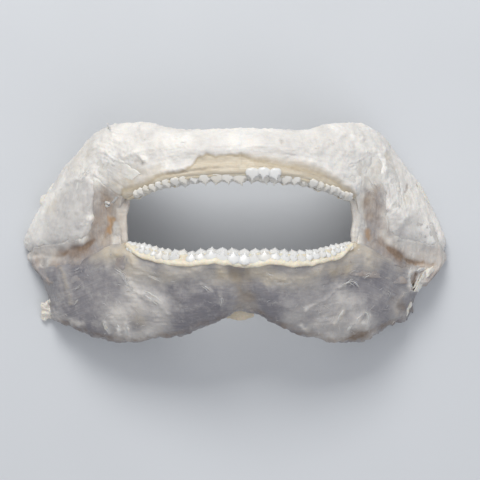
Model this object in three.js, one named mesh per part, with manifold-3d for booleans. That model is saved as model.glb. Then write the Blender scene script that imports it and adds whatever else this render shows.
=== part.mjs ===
// Dried jaws of a nurse shark, mouth wide open, lying on the rear ends of the jaw cartilages.
//
// Millimetres. +Z is the front of the mouth, +Y the upper jaw, and +X the right-hand side for someone
// who faces the mouth. Left and right in the names are that person's too. The floor is Z = 0, and the
// origin is the middle of the footprint.
//
// Each jaw is two cartilages that meet at a seam in the middle. A cartilage is a skin drawn through
// stations that follow one another from the seam to the joint of the jaws. A station holds a point of
// the rim that bears the teeth, the opposite point of the outer margin, and how thick the cartilage is
// in front of and behind the line between the two. "out" is a point's distance from the seam.

import * as THREE from "three";
import { mergeVertices } from "three/addons/utils/BufferGeometryUtils.js";
import Module from "manifold-3d";

const HALF_SEAM = 0.15; // each cartilage stops this far from the middle of its seam
const CLEARANCE = 0.35; // between a soft tissue and the cartilage it lies against
const RIM_SQUARENESS = 3.4; // superellipse exponent of the rim that bears the teeth
const MARGIN_SQUARENESS = 2.3; // and of the outer margin
const END_LENGTH = 0.1; // part of a cartilage's length in which its free end rounds off
const END_SQUARENESS = 2.4;
const MERGE = 1e-4; // points closer than this are one point

const CARTILAGE_GRID = { rows: 22, columns: 16 };
const TISSUE_GRID = { rows: 6, columns: 8 };

const UPPER_STATIONS = [
  // rim: out, y, z      margin: out, y, z   front, back
  [HALF_SEAM, 28.5, 67, HALF_SEAM, 53.5, 59, 13, 11],
  [18, 28, 66, 18, 53, 58, 13, 11],
  [33.5, 26, 62, 33.5, 53.5, 54, 13, 11],
  [47.5, 22, 55, 48, 57, 46, 13, 11],
  [58.5, 18, 47, 62, 57.5, 36, 13, 11],
  [68.5, 22.5, 40, 74, 55, 24, 13, 10],
  [74.5, 25, 35, 86, 44.5, 11, 13, 9],
  [76, 17, 31, 98.5, 30, 3.5, 13, 8],
  [76, 7, 28, 109, 13, 2.5, 12, 8],
  [77.5, -1, 25, 116, -3, 2, 10, 8],
  [83, -7.5, 18, 113, -10.5, 3, 8, 6],
];

const LOWER_STATIONS = [
  [HALF_SEAM, -10, 62, HALF_SEAM, -39.5, 48, 6, 8],
  [15, -9.5, 62, 15, -45.5, 46, 8, 8],
  [27.5, -10.5, 60, 29, -51, 40, 8, 8],
  [40.5, -9, 55, 44, -55, 34, 8, 7],
  [54, -6, 48, 59, -57, 28, 8, 7],
  [65.5, -4.5, 41, 73, -56.5, 24, 8, 7],
  [76.5, -8.5, 34, 85, -51.5, 20, 8, 7],
  [86.5, -12.5, 28, 93, -48.5, 15, 7, 6],
  [96.5, -15.5, 21, 99, -47, 10, 7, 6],
  [106, -17, 11, 103, -46, 3.5, 6, 5],
  [112.5, -18, 3, 106, -42, 0.5, 5, 4],
];

// Rises and hollows of the front face. u runs from the seam to the joint and v from the rim to the
// margin, both 0 to 1. du and dv are the half-widths, and rise is in millimetres.
const UPPER_RELIEF = [
  { name: "roll of the front edge", u: 0, v: 0.8, du: 0.3, dv: 0.2, rise: 1.5 },
  { name: "groove above the gum", u: 0, v: 0.36, du: 0.28, dv: 0.12, rise: -2 },
  { name: "hollow at the mouth corner", u: 0.5, v: 0, du: 0.07, dv: 0.25, rise: -5 },
  { name: "boss over the joint", u: 0.82, v: 0.25, du: 0.12, dv: 0.3, rise: 4 },
];

const LOWER_RELIEF = [
  { name: "gum lip", u: 0, v: 0.16, du: 0.4, dv: 0.08, rise: 1.8 },
  { name: "groove below the lip", u: 0, v: 0.36, du: 0.4, dv: 0.12, rise: -1.2 },
  { name: "swelling of the lower lobe", u: 0.5, v: 0.78, du: 0.12, dv: 0.2, rise: 3 },
  { name: "ridge before the joint", u: 0.84, v: 0.5, du: 0.05, dv: 0.5, rise: 1.6 },
];

// Rows of teeth, counted from the front. The rim turns them from upright to lying on its inner face.
const TOOTH_ROWS = 3;
const TOOTH_ROW_PITCH = 4.2;
const TOOTH_HEIGHT_RATIO = 1.2; // height over width
const TOOTH_THICKNESS_RATIO = 0.42;
const TOOTH_FILL = 0.96; // width over the space that a tooth has
const TOOTH_LEAN = { first: 42, perRow: 6 }; // degrees from the rim's normal, towards the throat
const CORNER_TOOTH_RATIO = 0.42; // size of the last tooth by the mouth corner over the middle one
// A tooth's outline over its half-width and its height, from the cusp round one side to the foot.
const TOOTH_OUTLINE = [
  [0, 0.62],
  [1, 0.08],
  [0.6, -0.38],
];

// The lower jaw is shorter on the right, and the upper jaw a little: reach scales a side's distances.
const UPPER = { seamX: 2, stations: UPPER_STATIONS, relief: UPPER_RELIEF, waist: 0 };
const LOWER = { seamX: 4, stations: LOWER_STATIONS, relief: LOWER_RELIEF, waist: 3 };
const UPPER_TEETH = { files: 15, lastU: 0.385, firstRow: 6.5 };
const LOWER_TEETH = { files: 16, lastU: 0.44, firstRow: 4.5 };
const SIDES = {
  left: {
    sign: -1,
    upper: { rim: 1, margin: 1 },
    lower: { rim: 1, margin: 1 },
    tissue: { rim: 1, margin: 1 },
  },
  right: {
    sign: 1,
    upper: { rim: 0.98, margin: 0.955 },
    lower: { rim: 0.92, margin: 0.855 },
    tissue: { rim: 0.94, margin: 0.94 },
  },
};

// Dried skin that closes the mouth's corner, from the upper jaw down to the lower.
const CORNER_STATIONS = [
  [60, 25, 45, 77, 28, 35, 1.4, 1.4],
  [58.5, 14, 44, 78.5, 14, 30, 1.4, 1.4],
  [58.5, 4, 43, 77, 3, 30, 1.4, 1.4],
  [60, -7, 40, 75, -12, 30, 1.4, 1.4],
];
const CORNER = { seamX: 3, stations: CORNER_STATIONS };

// Dried capsule that fills the crevice between the two jaws at their joint.
const CAPSULE_STATIONS = [
  [77.5, 0, 25, 77.5, -12, 25, 6, 5],
  [86, -4, 20, 86, -14, 20, 6, 6],
  [97, -6, 13, 97, -18, 13, 6, 6],
  [107, -8, 8, 107, -19, 8, 5, 5],
];
const CAPSULE = { seamX: 3, stations: CAPSULE_STATIONS };

// Web of skin behind the notch of the chin.
const WEB_STATIONS = [
  [0, -28, 45, 0, -43.5, 43, 3, 2],
  [7, -27, 46, 7, -45, 43, 3, 2],
  [14, -28, 46, 14, -43, 43, 3, 2],
];
const WEB = { seamX: -5, stations: WEB_STATIONS };

const TO_FOOTPRINT_MIDDLE = new THREE.Vector3(0.6, -0.25, 0);

const COLOURS = {
  upperCartilage: 0xdedad2,
  lowerCartilage: 0xa9a6a4,
  skin: 0xcdbb9c,
  capsule: 0x9c7a58,
};

const { clamp, degToRad, lerp } = THREE.MathUtils;
const wasm = await Module();
wasm.setup();

function catmullRom(before, from, to, after, t) {
  const straight = to - before;
  const bend = 2 * before - 5 * from + 4 * to - after;
  const twist = 3 * from - before - 3 * to + after;
  return 0.5 * (2 * from + straight * t + bend * t * t + twist * t * t * t);
}

// The station at u, between the listed ones. A jaw's stations go on mirrored beyond the seam, so that
// the two cartilages meet in one smooth line, and other stations go on straight.
function stationAt(stations, u, mirrored) {
  const spans = stations.length - 1;
  const i = Math.min(Math.floor(u * spans), spans - 1);
  const straightOn = (end, next) => end.map((value, k) => 2 * value - next[k]);
  const mirror = (next) => next.map((value, k) => (k === 0 || k === 3 ? -value : value));
  const first = mirrored ? mirror(stations[1]) : straightOn(stations[0], stations[1]);
  const last = straightOn(stations[spans], stations[spans - 1]);
  const at = (k) => (k < 0 ? first : k > spans ? last : stations[k]);
  return stations[i].map((value, k) =>
    catmullRom(at(i - 1)[k], value, at(i + 1)[k], at(i + 2)[k], u * spans - i),
  );
}

function bell(distance, halfWidth) {
  return Math.exp(-0.5 * (distance / halfWidth) ** 2);
}

function reliefAt(relief, u, v) {
  return relief.reduce((sum, r) => sum + r.rise * bell(u - r.u, r.du) * bell(v - r.v, r.dv), 0);
}

const signedPower = (value, power) => Math.sign(value) * Math.abs(value) ** power;

// The way a body runs at its free end.
function endDirection({ stations, sign }) {
  const middle = ([rimOut, rimY, rimZ, marginOut, marginY, marginZ]) =>
    new THREE.Vector3(sign * (rimOut + marginOut), rimY + marginY, rimZ + marginZ);
  return middle(stations.at(-1)).sub(middle(stations.at(-2))).normalize();
}

// A point of a body's skin. The angle goes round a section: 0 is the rim, 90 degrees the front, 180
// degrees the margin and 270 degrees the back. grow sets the point that far outside the skin.
function skinPoint(body, u, angle, grow = 0) {
  const [rimOut, rimY, rimZ, marginOut, marginY, marginZ, front, back] = stationAt(
    body.stations,
    u,
    Boolean(body.mirrored),
  );
  const squareness = Math.cos(angle) > 0 ? RIM_SQUARENESS : MARGIN_SQUARENESS;
  const across = -signedPower(Math.cos(angle), 2 / squareness);
  const height = signedPower(Math.sin(angle), 2 / squareness);
  const intoEnd = clamp((u - 1 + END_LENGTH) / END_LENGTH, 0, 1);
  const end = body.mirrored ? (1 - intoEnd ** END_SQUARENESS) ** (1 / END_SQUARENESS) : 1;
  const raised = body.relief && height > 0 ? reliefAt(body.relief, u, (across + 1) / 2) : 0;
  const thickness = height > 0 ? front + raised : back;

  const rim = new THREE.Vector3(rimOut * (body.reach?.rim ?? 1), rimY, rimZ);
  const margin = new THREE.Vector3(marginOut * (body.reach?.margin ?? 1), marginY, marginZ);
  const halfWidth = rim.distanceTo(margin) / 2;
  const spread = (1 + across * (1 + grow / halfWidth)) / 2;
  const point = rim.lerp(margin, spread);
  point.z += height * (thickness * end + grow);
  const towardsEnd = THREE.MathUtils.smoothstep(u, 0.75, 1);
  point.x -= (body.waist ?? 0) * towardsEnd * (1 - across * across);
  point.x = body.seamX + body.sign * point.x;
  return point.addScaledVector(endDirection(body), grow * intoEnd);
}

// Faces of a closed mesh, turned so that they point out.
function facingOut(points, triangles) {
  const volume = triangles.reduce((sum, [a, b, c]) => {
    const cross = new THREE.Vector3().crossVectors(points[b], points[c]);
    return sum + points[a].dot(cross);
  }, 0);
  const turned = volume < 0 ? triangles.map(([a, b, c]) => [a, c, b]) : triangles;
  const geometry = new THREE.BufferGeometry().setFromPoints(points);
  geometry.setIndex(turned.flat());
  return geometry;
}

// The closed skin of a body, with a flat cap at each end.
function skin(body, { rows, columns }, grow = 0) {
  const points = [];
  const triangles = [];
  for (let row = 0; row <= rows; row++) {
    for (let column = 0; column < columns; column++) {
      points.push(skinPoint(body, row / rows, (2 * Math.PI * column) / columns, grow));
    }
  }
  const at = (row, column) => row * columns + (column % columns);
  for (let row = 0; row < rows; row++) {
    for (let column = 0; column < columns; column++) {
      const [a, b] = [at(row, column), at(row, column + 1)];
      const [c, d] = [at(row + 1, column + 1), at(row + 1, column)];
      triangles.push([a, b, c], [a, c, d]);
    }
  }
  for (const row of [0, rows]) {
    const ring = points.slice(at(row, 0), at(row, 0) + columns);
    const centre = ring.reduce((sum, p) => sum.add(p), new THREE.Vector3()).divideScalar(columns);
    points.push(centre);
    for (let column = 0; column < columns; column++) {
      const pair = [at(row, column), at(row, column + 1)];
      triangles.push([points.length - 1, ...(row === 0 ? pair.reverse() : pair)]);
    }
  }
  return facingOut(points, triangles);
}

function solidOf(geometry) {
  const bare = geometry.clone();
  bare.deleteAttribute("normal");
  bare.deleteAttribute("uv");
  const merged = mergeVertices(bare, MERGE);
  const vertProperties = merged.attributes.position.array;
  const triVerts = new Uint32Array(merged.index.array);
  return new wasm.Manifold(new wasm.Mesh({ numProp: 3, vertProperties, triVerts }));
}

function meshOf(name, solid, colour, roughness) {
  const { vertProperties, triVerts } = solid.getMesh();
  const geometry = new THREE.BufferGeometry();
  geometry.setAttribute("position", new THREE.BufferAttribute(vertProperties, 3));
  geometry.setIndex(new THREE.BufferAttribute(triVerts, 1));
  geometry.computeVertexNormals();
  const material = new THREE.MeshStandardMaterial({ color: colour, roughness, metalness: 0 });
  const mesh = new THREE.Mesh(geometry, material);
  mesh.name = name;
  return mesh;
}

// One tooth: a pointed shield with a low peak in the middle of its front and of its back.
function toothGeometry(width) {
  const height = width * TOOTH_HEIGHT_RATIO;
  const right = TOOTH_OUTLINE.map(([x, y]) => new THREE.Vector3((x * width) / 2, y * height, 0));
  const left = right.slice(1).map((p) => new THREE.Vector3(-p.x, p.y, 0));
  const outline = [...right, ...left.reverse()];
  const peak = new THREE.Vector3(0, 0, (width * TOOTH_THICKNESS_RATIO) / 2);
  const points = [...outline, peak, peak.clone().negate()];
  const triangles = outline.flatMap((_, k) => {
    const next = (k + 1) % outline.length;
    return [
      [k, next, outline.length],
      [next, k, outline.length + 1],
    ];
  });
  return facingOut(points, triangles);
}

// Where the files of teeth stand: u along the rim and the width of a tooth, the middle file first.
function toothFiles(body, { files, lastU }) {
  const samples = 200;
  const reach = [0];
  for (let k = 1; k <= samples; k++) {
    const here = skinPoint(body, (lastU * k) / samples, 0);
    const before = skinPoint(body, (lastU * (k - 1)) / samples, 0);
    reach.push(reach[k - 1] + here.distanceTo(before));
  }
  const sizes = Array.from({ length: files }, (_, i) => lerp(1, CORNER_TOOTH_RATIO, i / (files - 1)));
  const places = [0];
  for (let i = 1; i < files; i++) places.push(places[i - 1] + (sizes[i - 1] + sizes[i]) / 2);
  const scale = reach[samples] / places[files - 1];
  return sizes.map((size, i) => {
    const k = reach.findIndex((distance) => distance >= places[i] * scale - MERGE);
    return { u: (lastU * k) / samples, width: size * scale };
  });
}

// The angle of the section at u whose skin lies a given distance from the rim, forwards positive.
function angleAt(body, u, distance) {
  const step = degToRad(1) * Math.sign(distance || 1);
  let angle = 0;
  let travelled = 0;
  while (travelled < Math.abs(distance) && Math.abs(angle) < Math.PI / 2) {
    const here = skinPoint(body, u, angle);
    angle += step;
    travelled += here.distanceTo(skinPoint(body, u, angle));
  }
  return angle;
}

function placedTooth(body, u, width, distance, lean) {
  const angle = angleAt(body, u, distance);
  const small = 0.01;
  const base = skinPoint(body, u, angle);
  const along = skinPoint(body, u + small, angle).sub(base).normalize();
  const back = skinPoint(body, u, angle - 6 * small).sub(skinPoint(body, u, angle + 6 * small));
  back.addScaledVector(along, -back.dot(along)).normalize();
  const normal = new THREE.Vector3().crossVectors(along, back);
  if (normal.dot(skinPoint(body, u, angle, 1).sub(base)) < 0) normal.negate();
  const cusp = normal.clone().multiplyScalar(Math.cos(lean)).addScaledVector(back, Math.sin(lean));
  const face = normal.clone().multiplyScalar(Math.sin(lean)).addScaledVector(back, -Math.cos(lean));
  const side = new THREE.Vector3().crossVectors(cusp, face);
  const turn = new THREE.Matrix4().makeBasis(side, cusp, face).setPosition(base);
  return solidOf(toothGeometry(width).applyMatrix4(turn));
}

function addTeeth(solid, body, teeth) {
  let toothed = solid;
  for (const { u, width } of toothFiles(body, teeth)) {
    for (let row = 0; row < TOOTH_ROWS; row++) {
      const distance = teeth.firstRow - row * TOOTH_ROW_PITCH;
      const lean = degToRad(TOOTH_LEAN.first + row * TOOTH_LEAN.perRow);
      toothed = toothed.add(placedTooth(body, u, width * TOOTH_FILL, distance, lean));
    }
  }
  return toothed;
}

// The space a cartilage may fill: above the floor and on its own side of the seam.
function ownSpace({ seamX, sign }) {
  const size = 300;
  const box = new THREE.BoxGeometry(size, size, size);
  box.translate(seamX + sign * (HALF_SEAM + size / 2), 0, size / 2);
  return solidOf(box);
}

function jawHalf(jaw, teeth, side, reach) {
  const body = { ...jaw, sign: side.sign, reach, mirrored: true };
  const toothed = addTeeth(solidOf(skin(body, CARTILAGE_GRID)), body, teeth);
  return { body, solid: toothed.intersect(ownSpace(body)) };
}

// A soft tissue gives way to the cartilages it lies against.
function tissue(body, jaws) {
  return jaws.reduce(
    (left, jaw) => left.subtract(solidOf(skin(jaw.body, CARTILAGE_GRID, CLEARANCE))),
    solidOf(skin(body, TISSUE_GRID)),
  );
}

const jaws = new THREE.Group();
jaws.position.copy(TO_FOOTPRINT_MIDDLE);
const lowerHalves = [];
for (const [sideName, side] of Object.entries(SIDES)) {
  const upper = jawHalf(UPPER, UPPER_TEETH, side, side.upper);
  const lower = jawHalf(LOWER, LOWER_TEETH, side, side.lower);
  const corner = { ...CORNER, sign: side.sign, reach: side.tissue };
  const capsule = { ...CAPSULE, sign: side.sign, reach: side.tissue };
  jaws.add(
    meshOf("upper_jaw_" + sideName, upper.solid, COLOURS.upperCartilage, 0.6),
    meshOf("lower_jaw_" + sideName, lower.solid, COLOURS.lowerCartilage, 0.45),
    meshOf("mouth_corner_" + sideName, tissue(corner, [upper, lower]), COLOURS.skin, 0.55),
    meshOf("joint_capsule_" + sideName, tissue(capsule, [upper, lower]), COLOURS.capsule, 0.6),
  );
  lowerHalves.push(lower);
}
jaws.add(meshOf("chin_web", tissue({ ...WEB, sign: 1 }, lowerHalves), COLOURS.skin, 0.55));

export default jaws;
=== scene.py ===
"""Dried nurse shark jaws on a pale floor, seen from straight above.

Every length in the tables is in millimetres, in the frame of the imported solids: +Z is the front of the
mouth, +Y the upper jaw and +X the right-hand side for someone who faces the mouth. Blender's objects are in
metres. A distance called out is measured from the seam in the middle towards the side.
"""

import functools
import itertools
import math

import bpy
import numpy as np
from bpy.props import FloatProperty, FloatVectorProperty, PointerProperty
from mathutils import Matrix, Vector


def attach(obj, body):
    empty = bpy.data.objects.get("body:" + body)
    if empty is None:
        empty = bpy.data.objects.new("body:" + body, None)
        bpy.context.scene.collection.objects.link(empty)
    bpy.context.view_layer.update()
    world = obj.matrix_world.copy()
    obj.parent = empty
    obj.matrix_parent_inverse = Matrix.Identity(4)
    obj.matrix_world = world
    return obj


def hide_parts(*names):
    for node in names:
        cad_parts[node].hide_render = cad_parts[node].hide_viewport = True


bl_info = {
    "name": "Dried Shark Jaws",
    "version": (1, 0, 0),
    "blender": (4, 5, 0),
    "location": "View3D > Sidebar > Jaws",
    "description": "Builds dried nurse shark jaws around the packed solids",
    "category": "Object",
}

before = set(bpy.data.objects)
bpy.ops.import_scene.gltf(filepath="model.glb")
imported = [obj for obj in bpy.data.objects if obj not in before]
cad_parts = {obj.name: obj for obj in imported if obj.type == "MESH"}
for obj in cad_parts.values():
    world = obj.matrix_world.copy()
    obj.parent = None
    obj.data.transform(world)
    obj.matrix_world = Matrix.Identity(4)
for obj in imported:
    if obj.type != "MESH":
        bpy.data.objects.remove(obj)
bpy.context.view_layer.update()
MM = 0.001  # metres in a millimetre

# ---------------------------------------------------------------------------------------------
# The cartilages' shape, from the same dimensions as the solids
# ---------------------------------------------------------------------------------------------

TO_FOOTPRINT_MIDDLE = np.array([0.6, -0.25, 0.0])  # brings the middle of the footprint to the origin
RIM_SQUARENESS = 3.4  # power of a section's curve on the side of the rim, where 2 is an ellipse
MARGIN_SQUARENESS = 2.3
END_LENGTH = 0.1  # share of a jaw's length over which its free end rounds off
END_SQUARENESS = 2.4
WAIST_START = 0.75  # share of a jaw's length at which its free end starts to draw in

# Each station has the rim's out, y and z, the margin's out, y and z, and the thickness to front and back.
UPPER_STATIONS = [
    [0, 28.5, 67, 0, 53.5, 59, 13, 11],
    [18, 28, 66, 18, 53, 58, 13, 11],
    [33.5, 26, 62, 33.5, 53.5, 54, 13, 11],
    [47.5, 22, 55, 48, 57, 46, 13, 11],
    [58.5, 18, 47, 62, 57.5, 36, 13, 11],
    [68.5, 22.5, 40, 74, 55, 24, 13, 10],
    [74.5, 25, 35, 86, 44.5, 11, 13, 9],
    [76, 17, 31, 98.5, 30, 3.5, 13, 8],
    [76, 7, 28, 109, 13, 2.5, 12, 8],
    [77.5, -1, 25, 116, -3, 2, 10, 8],
    [83, -7.5, 18, 113, -10.5, 3, 8, 6],
]
LOWER_STATIONS = [
    [0, -10, 62, 0, -39.5, 48, 6, 8],
    [15, -9.5, 62, 15, -45.5, 46, 8, 8],
    [27.5, -10.5, 60, 29, -51, 40, 8, 8],
    [40.5, -9, 55, 44, -55, 34, 8, 7],
    [54, -6, 48, 59, -57, 28, 8, 7],
    [65.5, -4.5, 41, 73, -56.5, 24, 8, 7],
    [76.5, -8.5, 34, 85, -51.5, 20, 8, 7],
    [86.5, -12.5, 28, 93, -48.5, 15, 7, 6],
    [96.5, -15.5, 21, 99, -47, 10, 7, 6],
    [106, -17, 11, 103, -46, 3.5, 6, 5],
    [112.5, -18, 3, 106, -42, 0.5, 5, 4],
]

# Broad rises and hollows of the front face: u along the jaw, v from the rim to the margin, the half-widths
# in u and v, and the rise.
UPPER_RELIEF = [
    (0, 0.8, 0.3, 0.2, 1.5),  # roll of the front edge
    (0, 0.36, 0.28, 0.12, -2),  # groove above the gum
    (0.5, 0, 0.07, 0.25, -5),  # hollow at the mouth corner
    (0.82, 0.25, 0.12, 0.3, 4),  # boss over the joint
]
LOWER_RELIEF = [
    (0, 0.16, 0.4, 0.08, 1.8),  # gum lip
    (0, 0.36, 0.4, 0.12, -1.2),  # groove below the lip
    (0.5, 0.78, 0.12, 0.2, 3),  # swelling of the lower lobe
    (0.84, 0.5, 0.05, 0.5, 1.6),  # ridge before the joint
]
# seam_x is where a jaw's halves meet, and waist is how far the middle of its free end draws in.
JAWS = {
    "upper": {"seam_x": 2, "stations": UPPER_STATIONS, "relief": UPPER_RELIEF, "waist": 0},
    "lower": {"seam_x": 4, "stations": LOWER_STATIONS, "relief": LOWER_RELIEF, "waist": 3},
}
# How far the rim and the margin of each body reach out on a side, over what its stations say.
SIDES = {
    "left": {"sign": -1, "upper": (1, 1), "lower": (1, 1), "tissue": (1, 1)},
    "right": {"sign": 1, "upper": (0.98, 0.955), "lower": (0.92, 0.855), "tissue": (0.95, 0.95)},
}

# ---------------------------------------------------------------------------------------------
# Numbers and curves
# ---------------------------------------------------------------------------------------------


def bell(distance, half_width):
    """A bell curve: 1 at no distance, and 0.6 at its half-width."""
    return np.exp(-0.5 * (distance / half_width) ** 2)


def smooth(value, low=0.0, high=1.0):
    """0 below low, 1 above high and an S-curve between them."""
    t = np.clip((value - low) / (high - low), 0, 1)
    return t * t * (3 - 2 * t)


def unit(vectors):
    """Vectors of length 1 that point the same way."""
    return vectors / np.maximum(np.linalg.norm(vectors, axis=-1, keepdims=True), 1e-9)


def catmull_rom(points, t):
    """Points on the smooth curve through all of points but the first and last, at t counted in spans."""
    points = np.asarray(points, float)
    i = np.clip(np.floor(t).astype(int), 0, len(points) - 4)
    f = (t - i)[:, None]
    before, start, end, after = (points[i + k] for k in range(4))
    bend = 2 * before - 5 * start + 4 * end - after
    twist = 3 * start - before - 3 * end + after
    return 0.5 * (2 * start + (end - before) * f + bend * f**2 + twist * f**3)


def on_line(path, spans):
    """Points of a smooth line through a path, at places counted in spans from its start."""
    path = np.asarray(path, float)
    return catmull_rom(np.vstack([2 * path[0] - path[1], path, 2 * path[-1] - path[-2]]), spans)


def smooth_path(path, steps=8):
    """A smooth line through a path, with this number of steps between each two of its points."""
    spans = len(path) - 1
    return on_line(path, np.linspace(0, spans, spans * steps + 1))


def lattice_noise(points, cell, seed):
    """Smooth random values from -1 to 1, in lumps about one cell (mm) across.

    The large numbers turn the place of a cell's corner and the seed into a random value there."""
    place = np.asarray(points, float) / cell
    corner = np.floor(place).astype(np.int64)
    share = place - corner
    share = share**3 * (share * (share * 6 - 15) + 10)
    total = np.zeros(place.shape[:-1])
    for step in itertools.product((0, 1), repeat=3):
        near = corner + step
        key = near[..., 0] * 374761393 + near[..., 1] * 668265263 + near[..., 2] * 1440662683
        key = (key + seed * 362437) & 0xFFFFFFFF
        key = ((key ^ (key >> 13)) * 1274126177) & 0xFFFFFFFF
        key ^= key >> 16
        weight = np.prod(np.where(step, share, 1 - share), axis=-1)
        total += weight * (key / 0x7FFFFFFF - 1)
    return total


def fractal(points, cell, seed, octaves=3):
    """Lattice noise with finer and weaker noise added."""
    return sum(lattice_noise(points, cell / 2**k, seed + k) * 0.5**k for k in range(octaves))


def shake(points, cell):
    """A random shift in x and y that changes smoothly over a cell (mm)."""
    return np.stack([fractal(points, cell, seed) for seed in (23, 25)], axis=-1)


def travelled(points, axis):
    """Distance along a grid of points in one of its directions, row by row."""
    steps = np.linalg.norm(np.diff(points, axis=axis), axis=2)
    start = np.zeros_like(np.take(steps, [0], axis=axis))
    return np.concatenate([start, np.cumsum(steps, axis=axis)], axis=axis)


def path_distance(spots, path):
    """How far spots lie from a path, both as x, y pairs."""
    nearest = np.full(spots.shape[:-1], np.inf)
    for a, b in zip(path[:-1], path[1:]):
        along = b - a
        share = np.clip(((spots - a) @ along) / max(along @ along, 1e-9), 0, 1)
        gap = np.linalg.norm(spots - a - share[..., None] * along, axis=-1)
        nearest = np.minimum(nearest, gap)
    return nearest


def inside(spots, outline, softness):
    """1 inside an outline, 0 outside, with an edge that fades over softness (mm)."""
    x, y = spots[..., 0], spots[..., 1]
    within = np.zeros(x.shape, bool)
    for (ax, ay), (bx, by) in zip(outline, np.roll(outline, -1, axis=0)):
        if ay == by:
            continue
        crosses = (ay > y) != (by > y)
        within ^= crosses & (x < (bx - ax) * (y - ay) / (by - ay) + ax)
    edge = path_distance(spots, np.vstack([outline, outline[:1]]))
    return smooth(np.where(within, edge, -edge), -softness, softness)


# ---------------------------------------------------------------------------------------------
# Skins
# ---------------------------------------------------------------------------------------------

RIM, MARGIN = 0.0, math.pi  # angles round a section
FINE_TURN = 2001  # points that measure a whole turn
FINE_REACH = 721  # points that measure both ways from the rim
REACH = 0.97 * math.pi  # how far round from the rim distances are measured
SMALL = 0.01  # step between two points of the skin that give its direction


def stations_at(stations, u, mirrored):
    """Stations at each u. Beyond the seam a jaw's stations go on mirrored, and others straight."""
    listed = np.asarray(stations, float)
    first = listed[1] * [-1, 1, 1, -1, 1, 1, 1, 1] if mirrored else 2 * listed[0] - listed[1]
    whole = np.vstack([first, listed, 2 * listed[-1] - listed[-2]])
    rows = catmull_rom(whole, np.abs(u) * (len(listed) - 1))
    rows[:, [0, 3]] *= np.where(u < 0, -1, 1)[:, None]
    return rows


def skin_points(body, u, angle):
    """Points of a body's skin for arrays u and angle of one shape, with v and the height there.

    The angle goes round a section: 0 is the rim, pi/2 the front, pi the margin."""
    shape = u.shape
    rows = stations_at(body["stations"], u.ravel(), body["mirrored"]).reshape(*shape, 8)
    cos, sin = np.cos(angle), np.sin(angle)
    power = 2 / np.where(cos > 0, RIM_SQUARENESS, MARGIN_SQUARENESS)
    across = -np.sign(cos) * np.abs(cos) ** power
    height = np.sign(sin) * np.abs(sin) ** power
    v = (across + 1) / 2
    into_end = np.clip((u - 1 + END_LENGTH) / END_LENGTH, 0, 1)
    end = (1 - into_end**END_SQUARENESS) ** (1 / END_SQUARENESS) if body["mirrored"] else 1
    raised = sum(
        rise * bell(np.abs(u) - at_u, wide_u) * bell(v - at_v, wide_v)
        for at_u, at_v, wide_u, wide_v, rise in body.get("relief", ())
    )
    thickness = np.where(height > 0, rows[..., 6] + raised, rows[..., 7])
    reach = body["reach"]
    rim = rows[..., 0:3] * [reach[0], 1, 1]
    margin = rows[..., 3:6] * [reach[1], 1, 1]
    points = rim + v[..., None] * (margin - rim)
    points[..., 2] += height * thickness * end
    points[..., 0] -= body.get("waist", 0) * smooth(u, WAIST_START, 1) * (1 - across**2)
    points[..., 0] = body["seam_x"] + body["sign"] * points[..., 0]
    return points + TO_FOOTPRINT_MIDDLE, v, height


def grid_normals(points, ring):
    """Normals of a grid of points, whose second direction closes on itself where ring is true."""
    along = np.gradient(points, axis=0)
    if ring:
        around = (np.roll(points, -1, axis=1) - np.roll(points, 1, axis=1)) / 2
    else:
        around = np.gradient(points, axis=1)
    normals = unit(np.cross(along, around))
    if not ring:
        return normals
    outwards = points - points.mean(axis=1, keepdims=True)
    turned = np.sign(np.sum(outwards * normals, axis=(1, 2), keepdims=True))
    return normals * np.where(turned == 0, 1, turned)


def even_angles(body, columns, at_u=0.3):
    """Angles round a section that space its points evenly along the skin."""
    fine = np.linspace(0, 2 * math.pi, FINE_TURN)
    points, _, _ = skin_points(body, np.full(fine.shape, at_u), fine)
    steps = np.linalg.norm(np.diff(points, axis=0), axis=1)
    travelled = np.concatenate([[0], np.cumsum(steps)])
    return np.interp(np.arange(columns) / columns * travelled[-1], travelled, fine)


def rim_points(body, u, distance):
    """Points, outward normals and ways back of the skin, at distances from the rim, forwards positive."""
    fine = np.linspace(-REACH, REACH, FINE_REACH)
    fine_u, fine_angle = np.meshgrid(u, fine, indexing="ij")
    run = travelled(skin_points(body, fine_u, fine_angle)[0], 1)
    run -= run[:, [FINE_REACH // 2]]
    angle = np.array([np.interp(d, row, fine) for d, row in zip(distance, run)])
    whole_u = np.repeat(u[:, None], angle.shape[1], 1)
    points, near, forward, backward, rim, margin = (
        skin_points(body, at_u, at_angle)[0]
        for at_u, at_angle in (
            (whole_u, angle),
            (whole_u + SMALL * np.where(whole_u < 0.9, 1, -1), angle),
            (whole_u, angle + SMALL),
            (whole_u, angle - SMALL),
            (whole_u, np.full(angle.shape, RIM)),
            (whole_u, np.full(angle.shape, MARGIN)),
        )
    )
    back = unit(backward - forward)
    normals = unit(np.cross(unit(near - points), back))
    normals *= np.sign(np.sum(normals * (points - (margin + rim) / 2), axis=2, keepdims=True))
    return points, normals, back


# ---------------------------------------------------------------------------------------------
# Meshes
# ---------------------------------------------------------------------------------------------


def grid_faces(rows, columns, ring):
    """Quads of a grid, and where ring is true also between its last column and its first."""
    spans = columns if ring else columns - 1
    row, column = np.meshgrid(np.arange(rows - 1), np.arange(spans), indexing="ij")
    after = (column + 1) % columns
    quads = [row * columns + column, row * columns + after]
    quads += [(row + 1) * columns + after, (row + 1) * columns + column]
    return np.stack(quads, axis=-1).reshape(-1, 4)


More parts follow.
